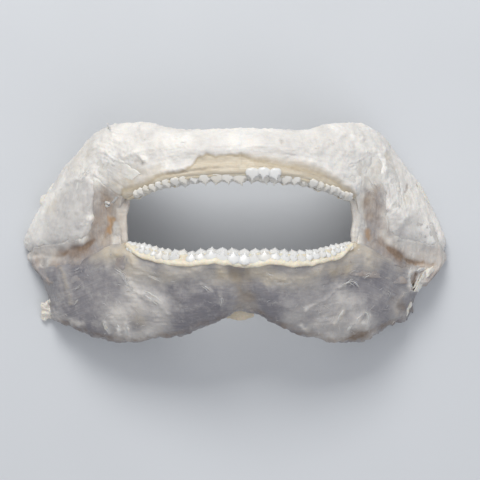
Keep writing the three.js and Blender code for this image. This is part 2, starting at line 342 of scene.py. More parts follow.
def new_object(name, points, faces, layers, material):
    """A smooth mesh object from points in millimetres, with a float attribute for each layer."""
    mesh = bpy.data.meshes.new(name)
    above_floor = np.maximum(points, [-np.inf, -np.inf, 0])
    mesh.from_pydata((above_floor * MM).tolist(), [], [list(map(int, f)) for f in faces])
    mesh.shade_smooth()
    mesh.materials.append(material)
    for layer, values in layers.items():
        attribute = mesh.attributes.new(layer, "FLOAT", "POINT")
        attribute.data.foreach_set("value", np.ascontiguousarray(values, np.float32).ravel())
    mesh.validate()
    piece = bpy.data.objects.new(name, mesh)
    bpy.context.scene.collection.objects.link(piece)
    return piece


def joined(shells):
    """Points, faces and layers of one mesh, from those of several closed shells."""
    points, faces, layers, start = [], [], {}, 0
    for own_points, own_faces, own_layers in shells:
        points.append(own_points)
        faces += [[k + start for k in face] for face in own_faces]
        for name, values in own_layers.items():
            layers.setdefault(name, []).append(np.broadcast_to(values, len(own_points)))
        start += len(own_points)
    return np.vstack(points), faces, {name: np.concatenate(parts) for name, parts in layers.items()}


def add_piece(piece, slot, *replaced):
    """Attaches a finished piece to the one body, and hides the parts of the nodes it stands for."""
    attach(piece, "root")
    if replaced:
        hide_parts(*replaced)
    return piece


# ---------------------------------------------------------------------------------------------
# Materials
# ---------------------------------------------------------------------------------------------


MIX_SHARE, MIX_UNDER, MIX_OVER, MIX_COLOUR = 0, 6, 7, 2  # sockets of a Mix node for colours
RAGGEDNESS = 0.5  # how far a pattern shifts the edge of a layer
NOISE_LOW, NOISE_HIGH = 0.3, 0.7  # most of a noise's values lie between these


def colour(hex_value):
    """Linear red, green, blue and alpha of an sRGB hex colour, by that standard's own curve."""
    parts = [int(hex_value[k : k + 2], 16) / 255 for k in (1, 3, 5)]
    return tuple(c / 12.92 if c <= 0.04045 else ((c + 0.055) / 1.055) ** 2.4 for c in parts) + (1.0,)


def add_node(tree, kind, inputs=None, **settings):
    """Adds a node with its settings. An input takes a value, or the socket that feeds it."""
    node = tree.nodes.new(kind)
    for name, value in settings.items():
        setattr(node, name, value)
    for key, value in (inputs or {}).items():
        if isinstance(value, bpy.types.NodeSocket):
            tree.links.new(value, node.inputs[key])
        else:
            node.inputs[key].default_value = value
    return node


def per_mm(size):
    """Scale of a pattern whose cells measure size (mm), for coordinates in metres."""
    return 1 / (size * MM)


def new_surface(name, settings, patterns, body, coats, roughness, reliefs):
    """A material laid up as its surface is: a body colour, coats of colour over it, and relief.

    settings are constants of the shader. Each of the patterns has the size of its cells (mm), or their
    length along the fibres and their width, its detail and its roughness. Each of the coats has the mesh's
    layer that places it or None, the pattern that breaks it up, where it starts, where it is full, its
    greatest share and its colour. roughness is a pattern with its lowest and highest value, and each of
    the reliefs a pattern with its strength and depth (mm)."""
    material = bpy.data.materials.new(name)
    material.use_nodes = True
    tree = material.node_tree
    tree.nodes.clear()
    whole = add_node(tree, "ShaderNodeTexCoord").outputs["Object"]
    found = {}
    for key, (size, detail, fineness) in patterns.items():
        place, scale = whole, 1.0
        if isinstance(size, tuple):
            lie = []
            for layer, cell in zip(("along", "around"), size):
                run = add_node(tree, "ShaderNodeAttribute", attribute_name=layer).outputs["Fac"]
                count = add_node(tree, "ShaderNodeMath", {0: run, 1: cell}, operation="DIVIDE")
                lie.append(count.outputs["Value"])
            place = add_node(tree, "ShaderNodeCombineXYZ", {"X": lie[0], "Y": lie[1]}).outputs["Vector"]
        else:
            scale = per_mm(size)
        cells = {"Vector": place, "Scale": scale, "Detail": detail, "Roughness": fineness}
        found[key] = add_node(tree, "ShaderNodeTexNoise", cells).outputs["Fac"]
    for layer, pattern, start, full, most, tint in coats:
        share = found[pattern]
        if layer:
            laid = add_node(tree, "ShaderNodeAttribute", attribute_name=layer).outputs["Fac"]
            ragged = {0: share, 1: RAGGEDNESS, 2: laid}
            share = add_node(tree, "ShaderNodeMath", ragged, operation="MULTIPLY_ADD").outputs["Value"]
        span = {"Value": share, "From Min": start, "From Max": full, "To Min": 0.0, "To Max": most}
        share = add_node(tree, "ShaderNodeMapRange", span).outputs["Result"]
        laid_over = {MIX_SHARE: share, MIX_UNDER: body, MIX_OVER: tint}
        body = add_node(tree, "ShaderNodeMix", laid_over, data_type="RGBA").outputs[MIX_COLOUR]
    pattern, lowest, highest = roughness
    span = {"Value": found[pattern], "From Min": NOISE_LOW, "From Max": NOISE_HIGH}
    span |= {"To Min": lowest, "To Max": highest}
    rough = add_node(tree, "ShaderNodeMapRange", span).outputs["Result"]
    relief = None
    for pattern, strength, depth in reliefs:
        bump = {"Height": found[pattern], "Strength": strength, "Distance": depth * MM}
        if relief:
            bump["Normal"] = relief
        relief = add_node(tree, "ShaderNodeBump", bump).outputs["Normal"]
    inputs = {"Base Color": body, "Roughness": rough, **settings}
    if relief:
        inputs["Normal"] = relief
    shader = add_node(tree, "ShaderNodeBsdfPrincipled", inputs)
    add_node(tree, "ShaderNodeOutputMaterial", {"Surface": shader.outputs["BSDF"]})
    return material


def light_inside(weight, *reach):
    """Settings for light that spreads below the surface, by red, green and blue reach (mm)."""
    return {
        "Subsurface Weight": weight,
        "Subsurface Scale": 1.0,
        "Subsurface Radius": [r * MM for r in reach],
    }


def cartilage_material(name, colours, roughness, grey_depth, relief):
    """Air-dried cartilage, or skin over it, under a torn fibrous coat.

    It gives the eye a waxy body that light sinks into, matt white fibre over it, horn-coloured gum by the
    teeth and brown stains in the crevices. In hollows, grooves and the crease under the upper jaws' ends, its
    grey and brown are also painted shade. Real fibres are about 0.1 mm wide. The streaks are drawn 0.8 mm
    wide, so that they show."""
    patterns = {
        "clouds": (11, 5, 0.55),  # where the cartilage is thicker
        "wisps": (5, 7, 0.7),  # thin fibre all over
        "patches": (2.6, 6, 0.65),  # shreds of the coat
        "streaks": ((11, 0.8), 5, 0.6),  # fibres along the jaw
        "wrinkles": ((1.0, 7), 4, 0.55),  # folds across them
        "grain": (0.7, 5, 0.55),  # the plates of lime in the surface
    }
    coats = [
        (None, "clouds", 0.35, 0.68, 1.0, colours["deep"]),
        # Grey of thick cartilage; in hollows, grooves and the crease it is also painted shade.
        ("deep", "clouds", 0.3, 1.15, grey_depth, colours["deep"]),
        (None, "streaks", 0.5, 0.8, 0.25, colours["coat"]),
        (None, "wisps", 0.52, 0.72, 0.4, colours["coat"]),
        ("coat", "patches", 0.3, 1.15, 1.0, colours["coat"]),
        ("gum", "streaks", 0.3, 1.15, 1.0, colours["gum"]),
        ("gum", "streaks", 1.1, 1.35, 0.75, colours["gum_light"]),
        # Brown staining in the crevices; along the crease under an upper jaw's end it is also painted shadow.
        ("stain", "patches", 0.3, 1.15, 0.9, colours["stain"]),
        (None, "grain", 0.35, 0.7, 0.12, colours["deep"]),
    ]
    reliefs = [
        ("streaks", 0.5 * relief, 0.3),
        ("wrinkles", 0.25 * relief, 0.25),
        ("patches", 0.45 * relief, 0.4),
    ]
    settings = {"IOR": 1.45, **light_inside(0.25, 2.4, 1.8, 1.3)}
    rough = ("patches", roughness - 0.1, roughness + 0.12)
    return new_surface(name, settings, patterns, colours["bare"], coats, rough, reliefs)


def skin_material(name, light, dark, roughness):
    """Dried gum or skin, stretched as it shrank.

    It gives the eye a translucent, horn-like sheet with long streaks, darker in its folds."""
    patterns = {"streaks": ((14, 0.7), 5, 0.55), "clouds": (3.5, 5, 0.55)}
    coats = [
        (None, "clouds", 0.3, 0.72, 0.45, dark),
        (None, "streaks", 0.4, 0.75, 0.4, dark),
        ("dark", "streaks", 0.3, 1.15, 1.0, dark),
    ]
    settings = {"IOR": 1.45, **light_inside(0.3, 2.5, 1.6, 0.9)}
    rough = ("clouds", roughness - 0.08, roughness + 0.12)
    reliefs = [("streaks", 0.4, 0.3), ("clouds", 0.5, 0.5)]
    return new_surface(name, settings, patterns, light, coats, rough, reliefs)


def enamel_material(name, enamel, root):
    """Shark enamel, grown over bone-like roots.

    It gives the eye a bright, glossy crown that turns to cream at its foot."""
    patterns = {"mottle": (1.1, 4, 0.55)}
    coats = [
        ("crown", "mottle", 0.2, 0.7, 1.0, enamel),
        # Cream tint of the crown: a tooth's own tone, and on the upper back rows painted shade.
        ("age", "mottle", 0.3, 1.3, 0.5, root),
    ]
    settings = {"IOR": 1.62, **light_inside(0.15, 0.8, 0.7, 0.6)}
    rough, reliefs = ("mottle", 0.26, 0.42), [("mottle", 0.25, 0.15)]
    return new_surface(name, settings, patterns, root, coats, rough, reliefs)


# ---------------------------------------------------------------------------------------------
# Forms and stains of the cartilages, and of the skin and capsules
# ---------------------------------------------------------------------------------------------

# The line along which the white coat ends above the gum of the upper jaw, as x and y.
COAT_EDGE = [
    (-62, 15), (-59.5, 19), (-58, 23.3), (-52.7, 24.7), (-47.2, 26), (-40.7, 28.6), (-34.3, 30.3),
    (-28.4, 30.9), (-22.3, 33.4), (-18.7, 38), (-14.2, 40.5), (-9.8, 38.9), (-2.6, 40), (2.7, 40),
    (10.3, 38), (20.9, 36.8), (31.6, 35), (42.4, 32.3), (51.2, 28.2), (59.4, 21.8), (65.3, 16),
]

# Ridges, grooves, lumps and pits. Each has a path of x, y points (one point is a spot), a half-width, a
# rise, and how much it adds to the layers coat, gum, stain and deep. The tissue is the skin and capsules.
# The forms marked below as painted shade darken hollows and the crease under an upper jaw's end.
FORMS = {
    ("upper", "left"): [
        ([(-34.3, 30.2), (-24, 30.9), (-17, 32.2), (-6, 33), (2, 33)], 0.7, -0.6, {"stain": 0.3}),
        ([(-20, 35.5), (-12, 36.5), (0, 36)], 0.6, -0.3, {"stain": 0.12}),
        ([(-16, 38.4), (-6, 37.7), (4, 38)], 0.9, 0.35, {"coat": 0.5}),
        ([(-30, 31.8), (-18, 33.8), (-4, 34.6), (3, 34.4)], 0.7, 0.3, {"coat": 0.4}),
        ([(-90, 34), (-80, 43), (-68, 50)], 4.5, 0.0, {"gum": 0.22}),
        ([(-64, 36), (-56, 45)], 4.0, 0.0, {"deep": 0.5}),
        ([(-54.3, 39.8), (-49, 41.9), (-47.6, 39.3), (-46.5, 36.9)], 1.2, 1.5, {"coat": 0.8}),
        # Brown in the crease under the boss: partly staining, partly painted shade.
        ([(-51, 36), (-47.5, 36.7)], 1.0, -1.1, {"stain": 0.45}),
        # Grey in the crevice at the mouth corner: painted shade.
        ([(-74, 27.5), (-70.5, 24), (-66.5, 19)], 1.3, -1.8, {"deep": 0.9}),
        ([(-57, 33), (-49, 31.5), (-40, 32)], 3.0, -0.8, {"gum": 0.45, "deep": 0.3}),
        ([(-62, 27), (-57, 30)], 3.5, -0.6, {"gum": 0.4, "deep": 0.5}),
        ([(-88.6, 26.1), (-81.1, 28.5), (-73.9, 26), (-73.8, 18), (-75.7, 11), (-79.5, 5)], 0.9, 0.7, {}),
        ([(-75.1, 7.6)], 1.5, 1.3, {"coat": 0.8}),
        ([(-73.5, 10.5), (-76, 4)], 1.0, 0.6, {"coat": 0.6}),
        ([(-81.1, 32.8)], 2.0, 1.0, {"coat": 0.6}),
        ([(-77, 31)], 1.2, 0.9, {"coat": 0.6}),
        ([(-58.4, 48.6)], 2.2, 0.9, {"coat": 0.5}),
        ([(-65, 47.5), (-68, 43)], 1.6, 0.9, {"coat": 0.5}),
        ([(-63, 41), (-66, 37.5)], 1.5, 0.8, {"coat": 0.5}),
        ([(-72, 44)], 1.7, 0.8, {"coat": 0.4}),
        ([(-47.3, 55.3)], 2.4, 1.1, {}),
        ([(-33, 47), (-24, 48.5)], 1.2, 0.5, {"coat": 0.5}),
        # Grey where the jaw's end turns under: partly its translucent cartilage, partly painted shade.
        ([(-84, -1), (-79, 3.5)], 3.6, -0.6, {"deep": 1.0}),
        ([(-95, 12), (-93, 6)], 2.6, -0.5, {"deep": 0.7}),
        ([(-96, 17), (-98, 13)], 2.0, 0.0, {"gum": 0.35}),
        # Brown along the lower edge of the jaw's end: partly staining, partly painted shadow where it turns
        # under into the crease.
        ([(-106, -9.5), (-95.7, -8.5), (-87.3, -6.6), (-80, -4)], 1.5, -0.8, {"stain": 0.7}),
    ],
    ("upper", "right"): [
        ([(3.6, 37), (14, 36), (28, 34.2), (39.5, 31.5), (50, 26.5)], 0.7, -0.4, {"stain": 0.1}),
        ([(6, 34), (18, 33.5), (32, 31.5), (44, 28)], 0.6, -0.4, {"stain": 0.2}),
        ([(35.2, 36.6), (45.5, 32.8), (54.1, 27.5), (61.5, 21)], 0.8, 0.7, {"coat": 0.4}),
        ([(50, 48), (58, 45), (64, 38)], 4.5, 0.0, {"deep": 0.3}),
        ([(84, 34), (94, 22), (103, 8)], 3.5, 0.0, {"gum": 0.15, "coat": 0.3}),
        ([(88, 16), (95, 9), (100, 0)], 7.0, 0.0, {"coat": 0.6}),
        ([(76, 43.7), (77.3, 37.7), (77.7, 31.8)], 1.5, 1.2, {"coat": 1.0}),
        ([(73.2, 41), (74, 35), (74.5, 31)], 1.5, -0.7, {"deep": 0.4}),
        # Grey-brown in the hollow beside the mouth corner: painted shade.
        ([(69, 28), (70, 22), (74, 15)], 3.0, -1.8, {"deep": 0.9, "stain": 0.25}),
        ([(63, 29), (58, 34)], 4.0, -0.5, {"deep": 0.3}),
        ([(80, 40), (81.5, 33)], 1.8, -0.9, {"gum": 0.5}),
        ([(23.5, 46.2)], 0.8, -0.9, {"stain": 0.4}),
        ([(82.5, 27.3)], 0.7, -1.1, {"stain": 0.95}),
        ([(78.1, 20.6)], 0.7, -0.9, {"stain": 0.6}),
        ([(91.4, 25.9), (91.2, 23.5), (89.8, 21.7)], 0.45, -0.6, {"stain": 0.6}),
        ([(79.3, 14.4)], 1.6, 1.4, {"coat": 1.0}),
        ([(82.6, 12.4)], 1.3, 1.2, {"coat": 0.9}),
        ([(84.5, 14.5)], 1.0, -0.6, {"gum": 0.7}),
        ([(77.5, 9.2)], 1.6, 1.0, {"coat": 0.8}),
        ([(90, 19), (91, 16)], 1.6, 0.0, {"gum": 0.45}),
        ([(84, 3), (90, 10)], 1.2, 0.5, {"coat": 0.6}),
        ([(51, 53), (56, 52)], 2.2, 0.9, {"coat": 0.5}),
        ([(61, 46.5), (66, 44)], 1.6, 0.7, {"coat": 0.6}),
        ([(60, 50), (64, 48)], 1.4, 0.8, {"coat": 0.6}),
        # Brown along the lower edge of the jaw's end: partly staining, partly painted shadow where it turns
        # under into the crease.
        ([(105, -9.6), (96, -8.6), (88, -7.2), (80, -3)], 1.5, -0.8, {"stain": 0.75}),
        # Grey where the jaw's end turns under: partly its translucent cartilage, partly painted shade.
        ([(76, 4), (81, -3)], 3.0, -0.5, {"deep": 0.9, "stain": 0.3}),
        # Grey down the edge of the hollow, with the coat thinned: painted shade along its side.
        ([(76, 27), (80, 16), (83, 6), (86, -2)], 3.0, 0.0, {"deep": 0.6, "coat": -0.35}),
    ],
    ("lower", "left"): [
        ([(-94.5, -14.5), (-90.6, -21), (-88.4, -30), (-86.4, -37.1)], 0.9, 0.5, {"gum": 0.35}),
        ([(-96.2, -15), (-92.6, -22), (-90.4, -31)], 0.8, -0.5, {"stain": 0.2}),
        ([(-106, -19), (-101, -23), (-98, -31), (-96, -36)], 4.2, 0.3, {"coat": 0.15, "deep": 0.2}),
        ([(-84, -18), (-78, -24), (-76, -34)], 5.5, -0.4, {"deep": 0.25}),
        ([(-97, -43), (-90, -46.8), (-82, -47)], 1.8, 0.6, {"coat": 0.55}),
        ([(-64.3, -17.5), (-58.1, -22), (-55.2, -27.1), (-51.2, -30.1)], 2.0, 0.5, {"coat": 0.5}),
        ([(-48.1, -29.5), (-42.8, -32.2), (-38.4, -36.1), (-35.5, -40.9)], 1.5, 1.5, {"coat": 0.35}),
        ([(-46, -26.3), (-39.5, -28.8), (-34.5, -33.5), (-31, -38.5)], 2.2, -1.5, {"deep": 0.7}),
        ([(-62, -40), (-53, -37.5), (-45, -40), (-44, -48), (-56, -50)], 6.0, 0.3, {"coat": 0.75}),
        ([(-50.5, -40.8), (-50.6, -46.1)], 2.6, 0.4, {"gum": 0.45}),
        ([(-47.5, -45.5), (-46, -48.5)], 1.4, -0.4, {"stain": 0.1}),
        ([(-68.2, -46.6), (-65.9, -51.3)], 0.9, 0.8, {"coat": 0.5}),
        ([(-56.5, -47.1), (-56, -52.7)], 0.9, 0.8, {"coat": 0.5}),
        ([(-61, -50), (-60.4, -52.6)], 0.9, 0.9, {"coat": 0.6}),
        ([(-45.2, -21.8), (-38.2, -24.7)], 0.5, 0.4, {"coat": 0.5}),
        ([(-17.7, -25.7), (-11.8, -29.4)], 0.5, 0.4, {"coat": 0.4}),
        ([(-8, -31), (-6.5, -37)], 0.9, 0.3, {"coat": 0.25}),
        ([(-56, -19), (-30, -20.5), (-8, -20)], 3.4, 1.0, {"coat": 0.6, "gum": 0.35}),
        ([(-52, -24), (-30, -25), (-14, -24)], 3.5, 0.0, {"coat": 0.25}),
        ([(-63, -9), (-57, -11.5), (-50, -17)], 2.8, 1.0, {"coat": 0.65, "gum": 0.2}),
        ([(2.6, -17), (3.4, -28), (4.2, -38)], 3.0, -1.4, {"stain": 0.3, "gum": 0.3}),
        ([(-10, -20), (0, -20.5)], 3.5, 0.4, {"coat": 0.4, "gum": 0.4}),
        ([(-54, -8.5), (-60, -8.5), (-67, -8)], 3.6, 0.0, {"coat": 0.5, "gum": 0.35}),
        ([(-58, -13), (-66, -14), (-76, -12)], 3.6, 0.0, {"coat": 0.2, "gum": 0.3}),
        ([(-91, -47), (-76.6, -52.2), (-61.7, -56.4), (-47.4, -55.5), (-24.5, -50.5), (-6, -43)],
         1.6, 0.0, {"stain": 0.5, "deep": 1.0}),
        # Brown-grey band just below the crease: painted shadow of the upper jaw's end, with some staining.
        ([(-98, -12), (-86, -12), (-74, -9.5)], 2.8, -0.4, {"stain": 0.55, "deep": 0.7}),
        ([(-32, -40), (-22, -42), (-12, -37)], 6.0, 0.0, {"deep": 0.9}),
        ([(-36, -25), (-20, -31)], 3.5, -0.8, {"deep": 0.6}),
    ],
    ("lower", "right"): [
        ([(4.2, -17), (4.6, -28), (5.4, -38)], 3.0, -1.4, {"stain": 0.3, "gum": 0.3}),
        ([(5, -20.5), (13, -20)], 3.5, 0.4, {"coat": 0.4, "gum": 0.4}),
        ([(54, -8.5), (60, -8.5), (67, -8)], 3.6, 0.0, {"coat": 0.5, "gum": 0.35}),
        ([(58, -13), (68, -14), (78, -13), (86, -16)], 4.0, 0.0, {"coat": 0.3, "gum": 0.3}),
        ([(56, -26.3), (53.5, -27.5), (47.6, -32.6), (41.5, -36.1), (36.2, -39.1)], 0.7, 0.8,
         {"coat": 0.3}),
        ([(38, -31), (45, -28), (50, -24)], 3.0, -0.9, {"deep": 0.5}),
        ([(36, -42), (46, -39), (56, -37), (64, -41), (66, -48), (55, -51), (43, -48)], 5.5, 0.3,
         {"coat": 0.7}),
        ([(52.2, -46.9), (55.8, -40.2)], 1.1, 0.8, {"coat": 0.35, "gum": 0.3}),
        ([(62.2, -47.9), (64.4, -43.5), (68.1, -41.1), (69.4, -44.3), (68.5, -49.4)], 1.1, 0.8,
         {"coat": 0.3}),
        ([(65.6, -46.4)], 1.0, 1.2, {"coat": 0.8}),
        ([(58.5, -50.5), (60.5, -46.8)], 0.9, 0.6, {"coat": 0.3}),
        ([(34, -47.5), (37, -50)], 1.0, 0.8, {"coat": 0.7}),
        ([(61, -53.5), (66, -52.5)], 2.4, -1.0, {"stain": 0.6}),
        ([(94, -18.2), (99, -18), (104, -18.6), (99.5, -24), (96.4, -29)], 1.8, 0.9, {"coat": 1.0}),
        ([(92, -20), (91.4, -24.5), (93, -29.5)], 1.0, 1.0, {"coat": 1.0}),
        ([(95.2, -21.4), (94.6, -24.5), (93.4, -28)], 0.8, -2.0, {"stain": 1.0}),
        ([(85, -27), (84.5, -36), (90, -44)], 5.0, 0.0, {"coat": 0.3}),
        ([(85.6, -36), (89.2, -38), (91.4, -39.5)], 2.4, -0.8, {"stain": 0.55}),
        ([(88, -33), (84, -39), (86, -43)], 0.9, 0.9, {"coat": 0.4, "stain": 0.3}),
        ([(66.5, -22.3), (70.1, -21.4)], 0.5, 0.5, {"coat": 0.7}),
        ([(15.6, -20.6), (18.4, -21.5)], 0.6, 0.4, {"coat": 0.8}),
        ([(20.8, -25.3), (27.7, -25.2)], 0.6, 0.4, {"coat": 0.7}),
        ([(10, -20), (24, -20.5), (36, -21.5), (52, -20)], 3.4, 1.0, {"coat": 0.65, "gum": 0.45}),
        ([(16, -24), (32, -25), (50, -23)], 3.5, 0.0, {"coat": 0.2}),
        ([(54, -17), (66, -14)], 3.4, 0.0, {"coat": 0.6, "gum": 0.25}),
        ([(50, -20.5), (58, -19)], 2.0, 0.0, {"gum": 0.45}),
        ([(87, -46), (68, -52.8), (57.7, -56.6), (43.6, -53.6), (27.6, -49.5), (12, -42)], 1.6, 0.0,
         {"stain": 0.5, "deep": 1.0}),
        # Brown-grey band just below the crease: painted shadow of the upper jaw's end, with some staining.
        ([(96, -13.5), (86, -12.5), (74, -9.5)], 2.6, -0.4, {"stain": 0.45, "deep": 0.5}),
        ([(14, -33), (26, -38), (34, -43)], 5.0, 0.0, {"deep": 0.9}),
        ([(20, -29), (34, -29)], 3.5, -0.6, {"deep": 0.5}),
    ],
}
FORMS["tissue", "left"] = [
    ([(-106.5, -17.2), (-101.5, -16.4), (-97.2, -14.8)], 1.7, 0.7, {"coat": 0.9}),
    ([(-105.5, -23), (-101, -25), (-98, -32)], 3.6, 0.0, {"deep": 0.5, "coat": -0.6}),
    ([(-94.6, -16), (-92.8, -21), (-91, -29), (-89.4, -36)], 0.9, -0.5, {"gum": 0.4, "stain": 0.15}),
    # Brown-grey band below the crease, with the pale coat taken away: painted shadow of the upper jaw's end.
    ([(-94, -10.4), (-91, -10.2), (-85, -10.6), (-78, -9)], 2.6, -0.5,
     {"stain": 0.45, "deep": 0.6, "coat": -0.5}),
    ([(-99, -19), (-96.4, -24)], 2.4, 0.2, {"coat": 0.5}),
    ([(-60, 20), (-60, -4)], 2.5, 0.0, {"gum": 0.25}),
    ([(-69, 16), (-70.5, 0)], 3.5, 0.0, {"gum": 0.18}),
]
FORMS["tissue", "right"] = [
    ([(94, -18.2), (99, -18), (104, -18.6), (99.5, -24), (96.4, -29)], 1.8, 0.7,
     {"coat": 1.0, "stain": -0.6}),
    ([(92, -20), (91.4, -24.5), (93, -29.5)], 1.0, 0.8, {"coat": 1.0}),
    ([(95.2, -21.4), (94.6, -24.5), (93.4, -28)], 0.8, -1.6, {"stain": 1.0, "coat": -1.0}),
    # Brown-grey band below the crease, with the pale coat taken away: painted shadow of the upper jaw's end.
    ([(83, -10), (88.4, -13.4), (93, -15.4)], 2.2, -0.5, {"stain": 0.5, "deep": 0.4, "coat": -0.4}),
    ([(95, -15.4), (105, -16.8)], 0.9, -0.5, {"stain": 0.35, "gum": 0.4}),
    ([(61.5, 20), (61.5, -4)], 2.5, 0.0, {"coat": 0.3, "gum": 0.1}),
    # Grey down the edge of the hollow, with the coat thinned: painted shade along its side.
    ([(75.5, 24), (77, 16), (79.5, 6), (82.5, -3)], 2.6, -0.3,
     {"deep": 0.3, "coat": -0.3, "stain": 0.1}),
    ([(68.7, -0.5)], 2.5, 0.0, {"gum": -0.4, "stain": 0.2}),
    ([(71, 18), (72.5, -2)], 3.5, 0.0, {"gum": 0.28}),
    ([(70.5, 25), (70.5, 14)], 1.8, 0.0, {"coat": 0.4}),
]

# The smooth ends of the upper cartilages, where the coat is thin: outlines, and how softly they end.
BARE_ENDS = [
    ([(-88, 27), (-81, 29), (-74, 26), (-74, 17), (-76, 10), (-82, 2), (-95, -7), (-104, -4),
      (-101, 10)], 2.5),
    ([(84, 1), (80, 8), (86, 10), (97, 12), (104, 0), (97, -6), (90, -6)], 3),
]

# ---------------------------------------------------------------------------------------------
# Cartilages
# ---------------------------------------------------------------------------------------------

CARTILAGE_ROWS = 330  # along a jaw's half
CARTILAGE_COLUMNS = 240  # round its section
END_ROWS = 66  # of them in the free end, where they stand closer
ALMOST = 0.995  # the last row stops just short of the tip, so that its ring keeps a size
SEAM_OVERLAP = 0.5  # how far a half reaches past the seam into the other
NO_EDGE = -99  # height of the coat's edge where there is none
CRISP_MIDDLE, CRISP_REACH = -17, 16  # x and half-length of the stretch where the coat's edge is crisp
LOWER_TEETH_MIDDLE, LOWER_TEETH_REACH = 3, 60  # x and half-length of the lower row of teeth
COAT_STEP = 0.2  # height of the coat over the gum, and once more where its edge is crisp
COAT_ROLL = 0.4  # height of the roll along a crisp edge
SWELLING = 0.6  # height of the broad swellings
BARE_LUMPS, COAT_LUMPS = 0.2, 0.3  # height of the small lumps, and what the coat adds to it
BARE_FIBRES, COAT_FIBRES = 0.05, 0.12  # the same for the fibres along a jaw
FIBRE_LENGTH, FIBRE_WIDTH = 8, 1.3
CREASE_HEIGHT = 0.2  # of the fine folds in the coat
TORN_MARGIN = {"upper": (0.3, 0.3), "lower": (0.95, 0.5)}  # height of broad and of fine tears


def jaw_body(jaw, side_name):
    """What skin_points needs to know of one half of a jaw."""
    side = SIDES[side_name]
    return {**JAWS[jaw], "sign": side["sign"], "reach": side[jaw], "mirrored": True}


def closing_lengths():
    """Shares of the length from the seam, set closer where the free end rounds off."""
    straight = np.linspace(0, 1 - END_LENGTH, CARTILAGE_ROWS - END_ROWS, endpoint=False)
    round_end = np.sin(np.linspace(0, ALMOST * math.pi / 2, END_ROWS))
    return np.concatenate([straight, 1 - END_LENGTH + END_LENGTH * round_end])


def ring_mesh(points):
    """Points and faces of a closed skin from a grid whose rows are rings, and each point's place in it.

    The caps have points of their own, so that they don't bend the shading of the skin."""
    rows, columns = points.shape[:2]
    total = rows * columns
    quads = grid_faces(rows, columns, ring=True)
    source = np.concatenate([np.arange(total), np.arange(columns), np.arange(total - columns, total)])
    flat = points.reshape(-1, 3)[source]
    first = list(range(total, total + columns))
    last = list(range(total + columns, total + 2 * columns))
    a, b, c = (flat[quads[:, k]] for k in range(3))
    if np.sum(np.cross(a, b) * c) < 0:
        return flat, [*quads[:, ::-1].tolist(), first, last[::-1]], source
    return flat, [*quads.tolist(), first[::-1], last], source


def ring_layers(layers, source):
    """Layers of a grid, for the points of its ring_mesh."""
    return {name: np.asarray(values).ravel()[source] for name, values in layers.items()}


def below_coat(points):
    """How far points lie below the edge of the upper jaw's coat, and how crisp that edge is there."""
    edge = np.array(COAT_EDGE)
    height = np.interp(points[..., 0], edge[:, 0], edge[:, 1], left=NO_EDGE, right=NO_EDGE)
    crisp = bell(np.maximum(np.abs(points[..., 0] - CRISP_MIDDLE) - CRISP_REACH, 0), 6)
    return height - points[..., 1] + 0.55 * fractal(points, 5, 15, 4), crisp


def region_layers(jaw, points, v, front):
    """Layers of a whole cartilage, before its single forms."""
    layers = {layer: np.zeros(v.shape) for layer in ("coat", "gum", "stain", "deep")}
    patchy = lattice_noise(points, 9, 11)
    if jaw == "upper":
        below, crisp = below_coat(points)
        wide = 1.2 + 3.0 * (1 - crisp)  # how softly the coat ends
        gum = smooth(below, -wide, wide) * front
        bare = sum(inside(points[..., :2], np.array(outline), soft) for outline, soft in BARE_ENDS)
        layers["gum"] = np.maximum(gum, smooth(-v, -0.06, 0.02))  # the rim below the teeth too
        layers["coat"] = np.clip((0.62 + 0.3 * patchy) * (1 - gum) * (1 - 0.6 * bare * front), 0, 1)
        layers["deep"] = 0.25 * bare * front
    else:
        layers["coat"] = np.clip(0.05 + 0.18 * patchy, 0, 1)
        beside_teeth = smooth(LOWER_TEETH_REACH - np.abs(points[..., 0] - LOWER_TEETH_MIDDLE), -3, 3)
        layers["gum"] = smooth(-v, -0.1, 0.0) * beside_teeth
        layers["deep"] = np.clip(0.3 + 0.4 * lattice_noise(points, 14, 12), 0, 1)
    return layers


FORM_WOBBLE = 0.8  # how far a form's edge wanders, over its half-width
FORM_EVENNESS = 0.75  # the share of a form that is there all along it
FORM_BREAKS = 0.5  # how much more or less of it there is in places


def laid_forms(key, points):
    """How far single forms raise a surface, and what they add to its layers."""
    rise, paint = np.zeros(points.shape[:-1]), {}
    for path, half_width, lift, adds in FORMS[key]:
        line = smooth_path(path) if len(path) > 2 else np.array(path, float)
        shaken = points[..., :2] + FORM_WOBBLE * half_width * shake(points, 3 * half_width)
        if len(line) > 1:
            gap = path_distance(shaken, line)
        else:
            gap = np.linalg.norm(shaken - line[0], axis=-1)
        breaks = FORM_BREAKS * lattice_noise(points, 2.5 + half_width, 27)
        share = bell(gap, half_width) * (FORM_EVENNESS + breaks)
        rise += lift * share
        for layer, amount in adds.items():
            paint[layer] = paint.get(layer, 0) + amount * share
    return rise, paint


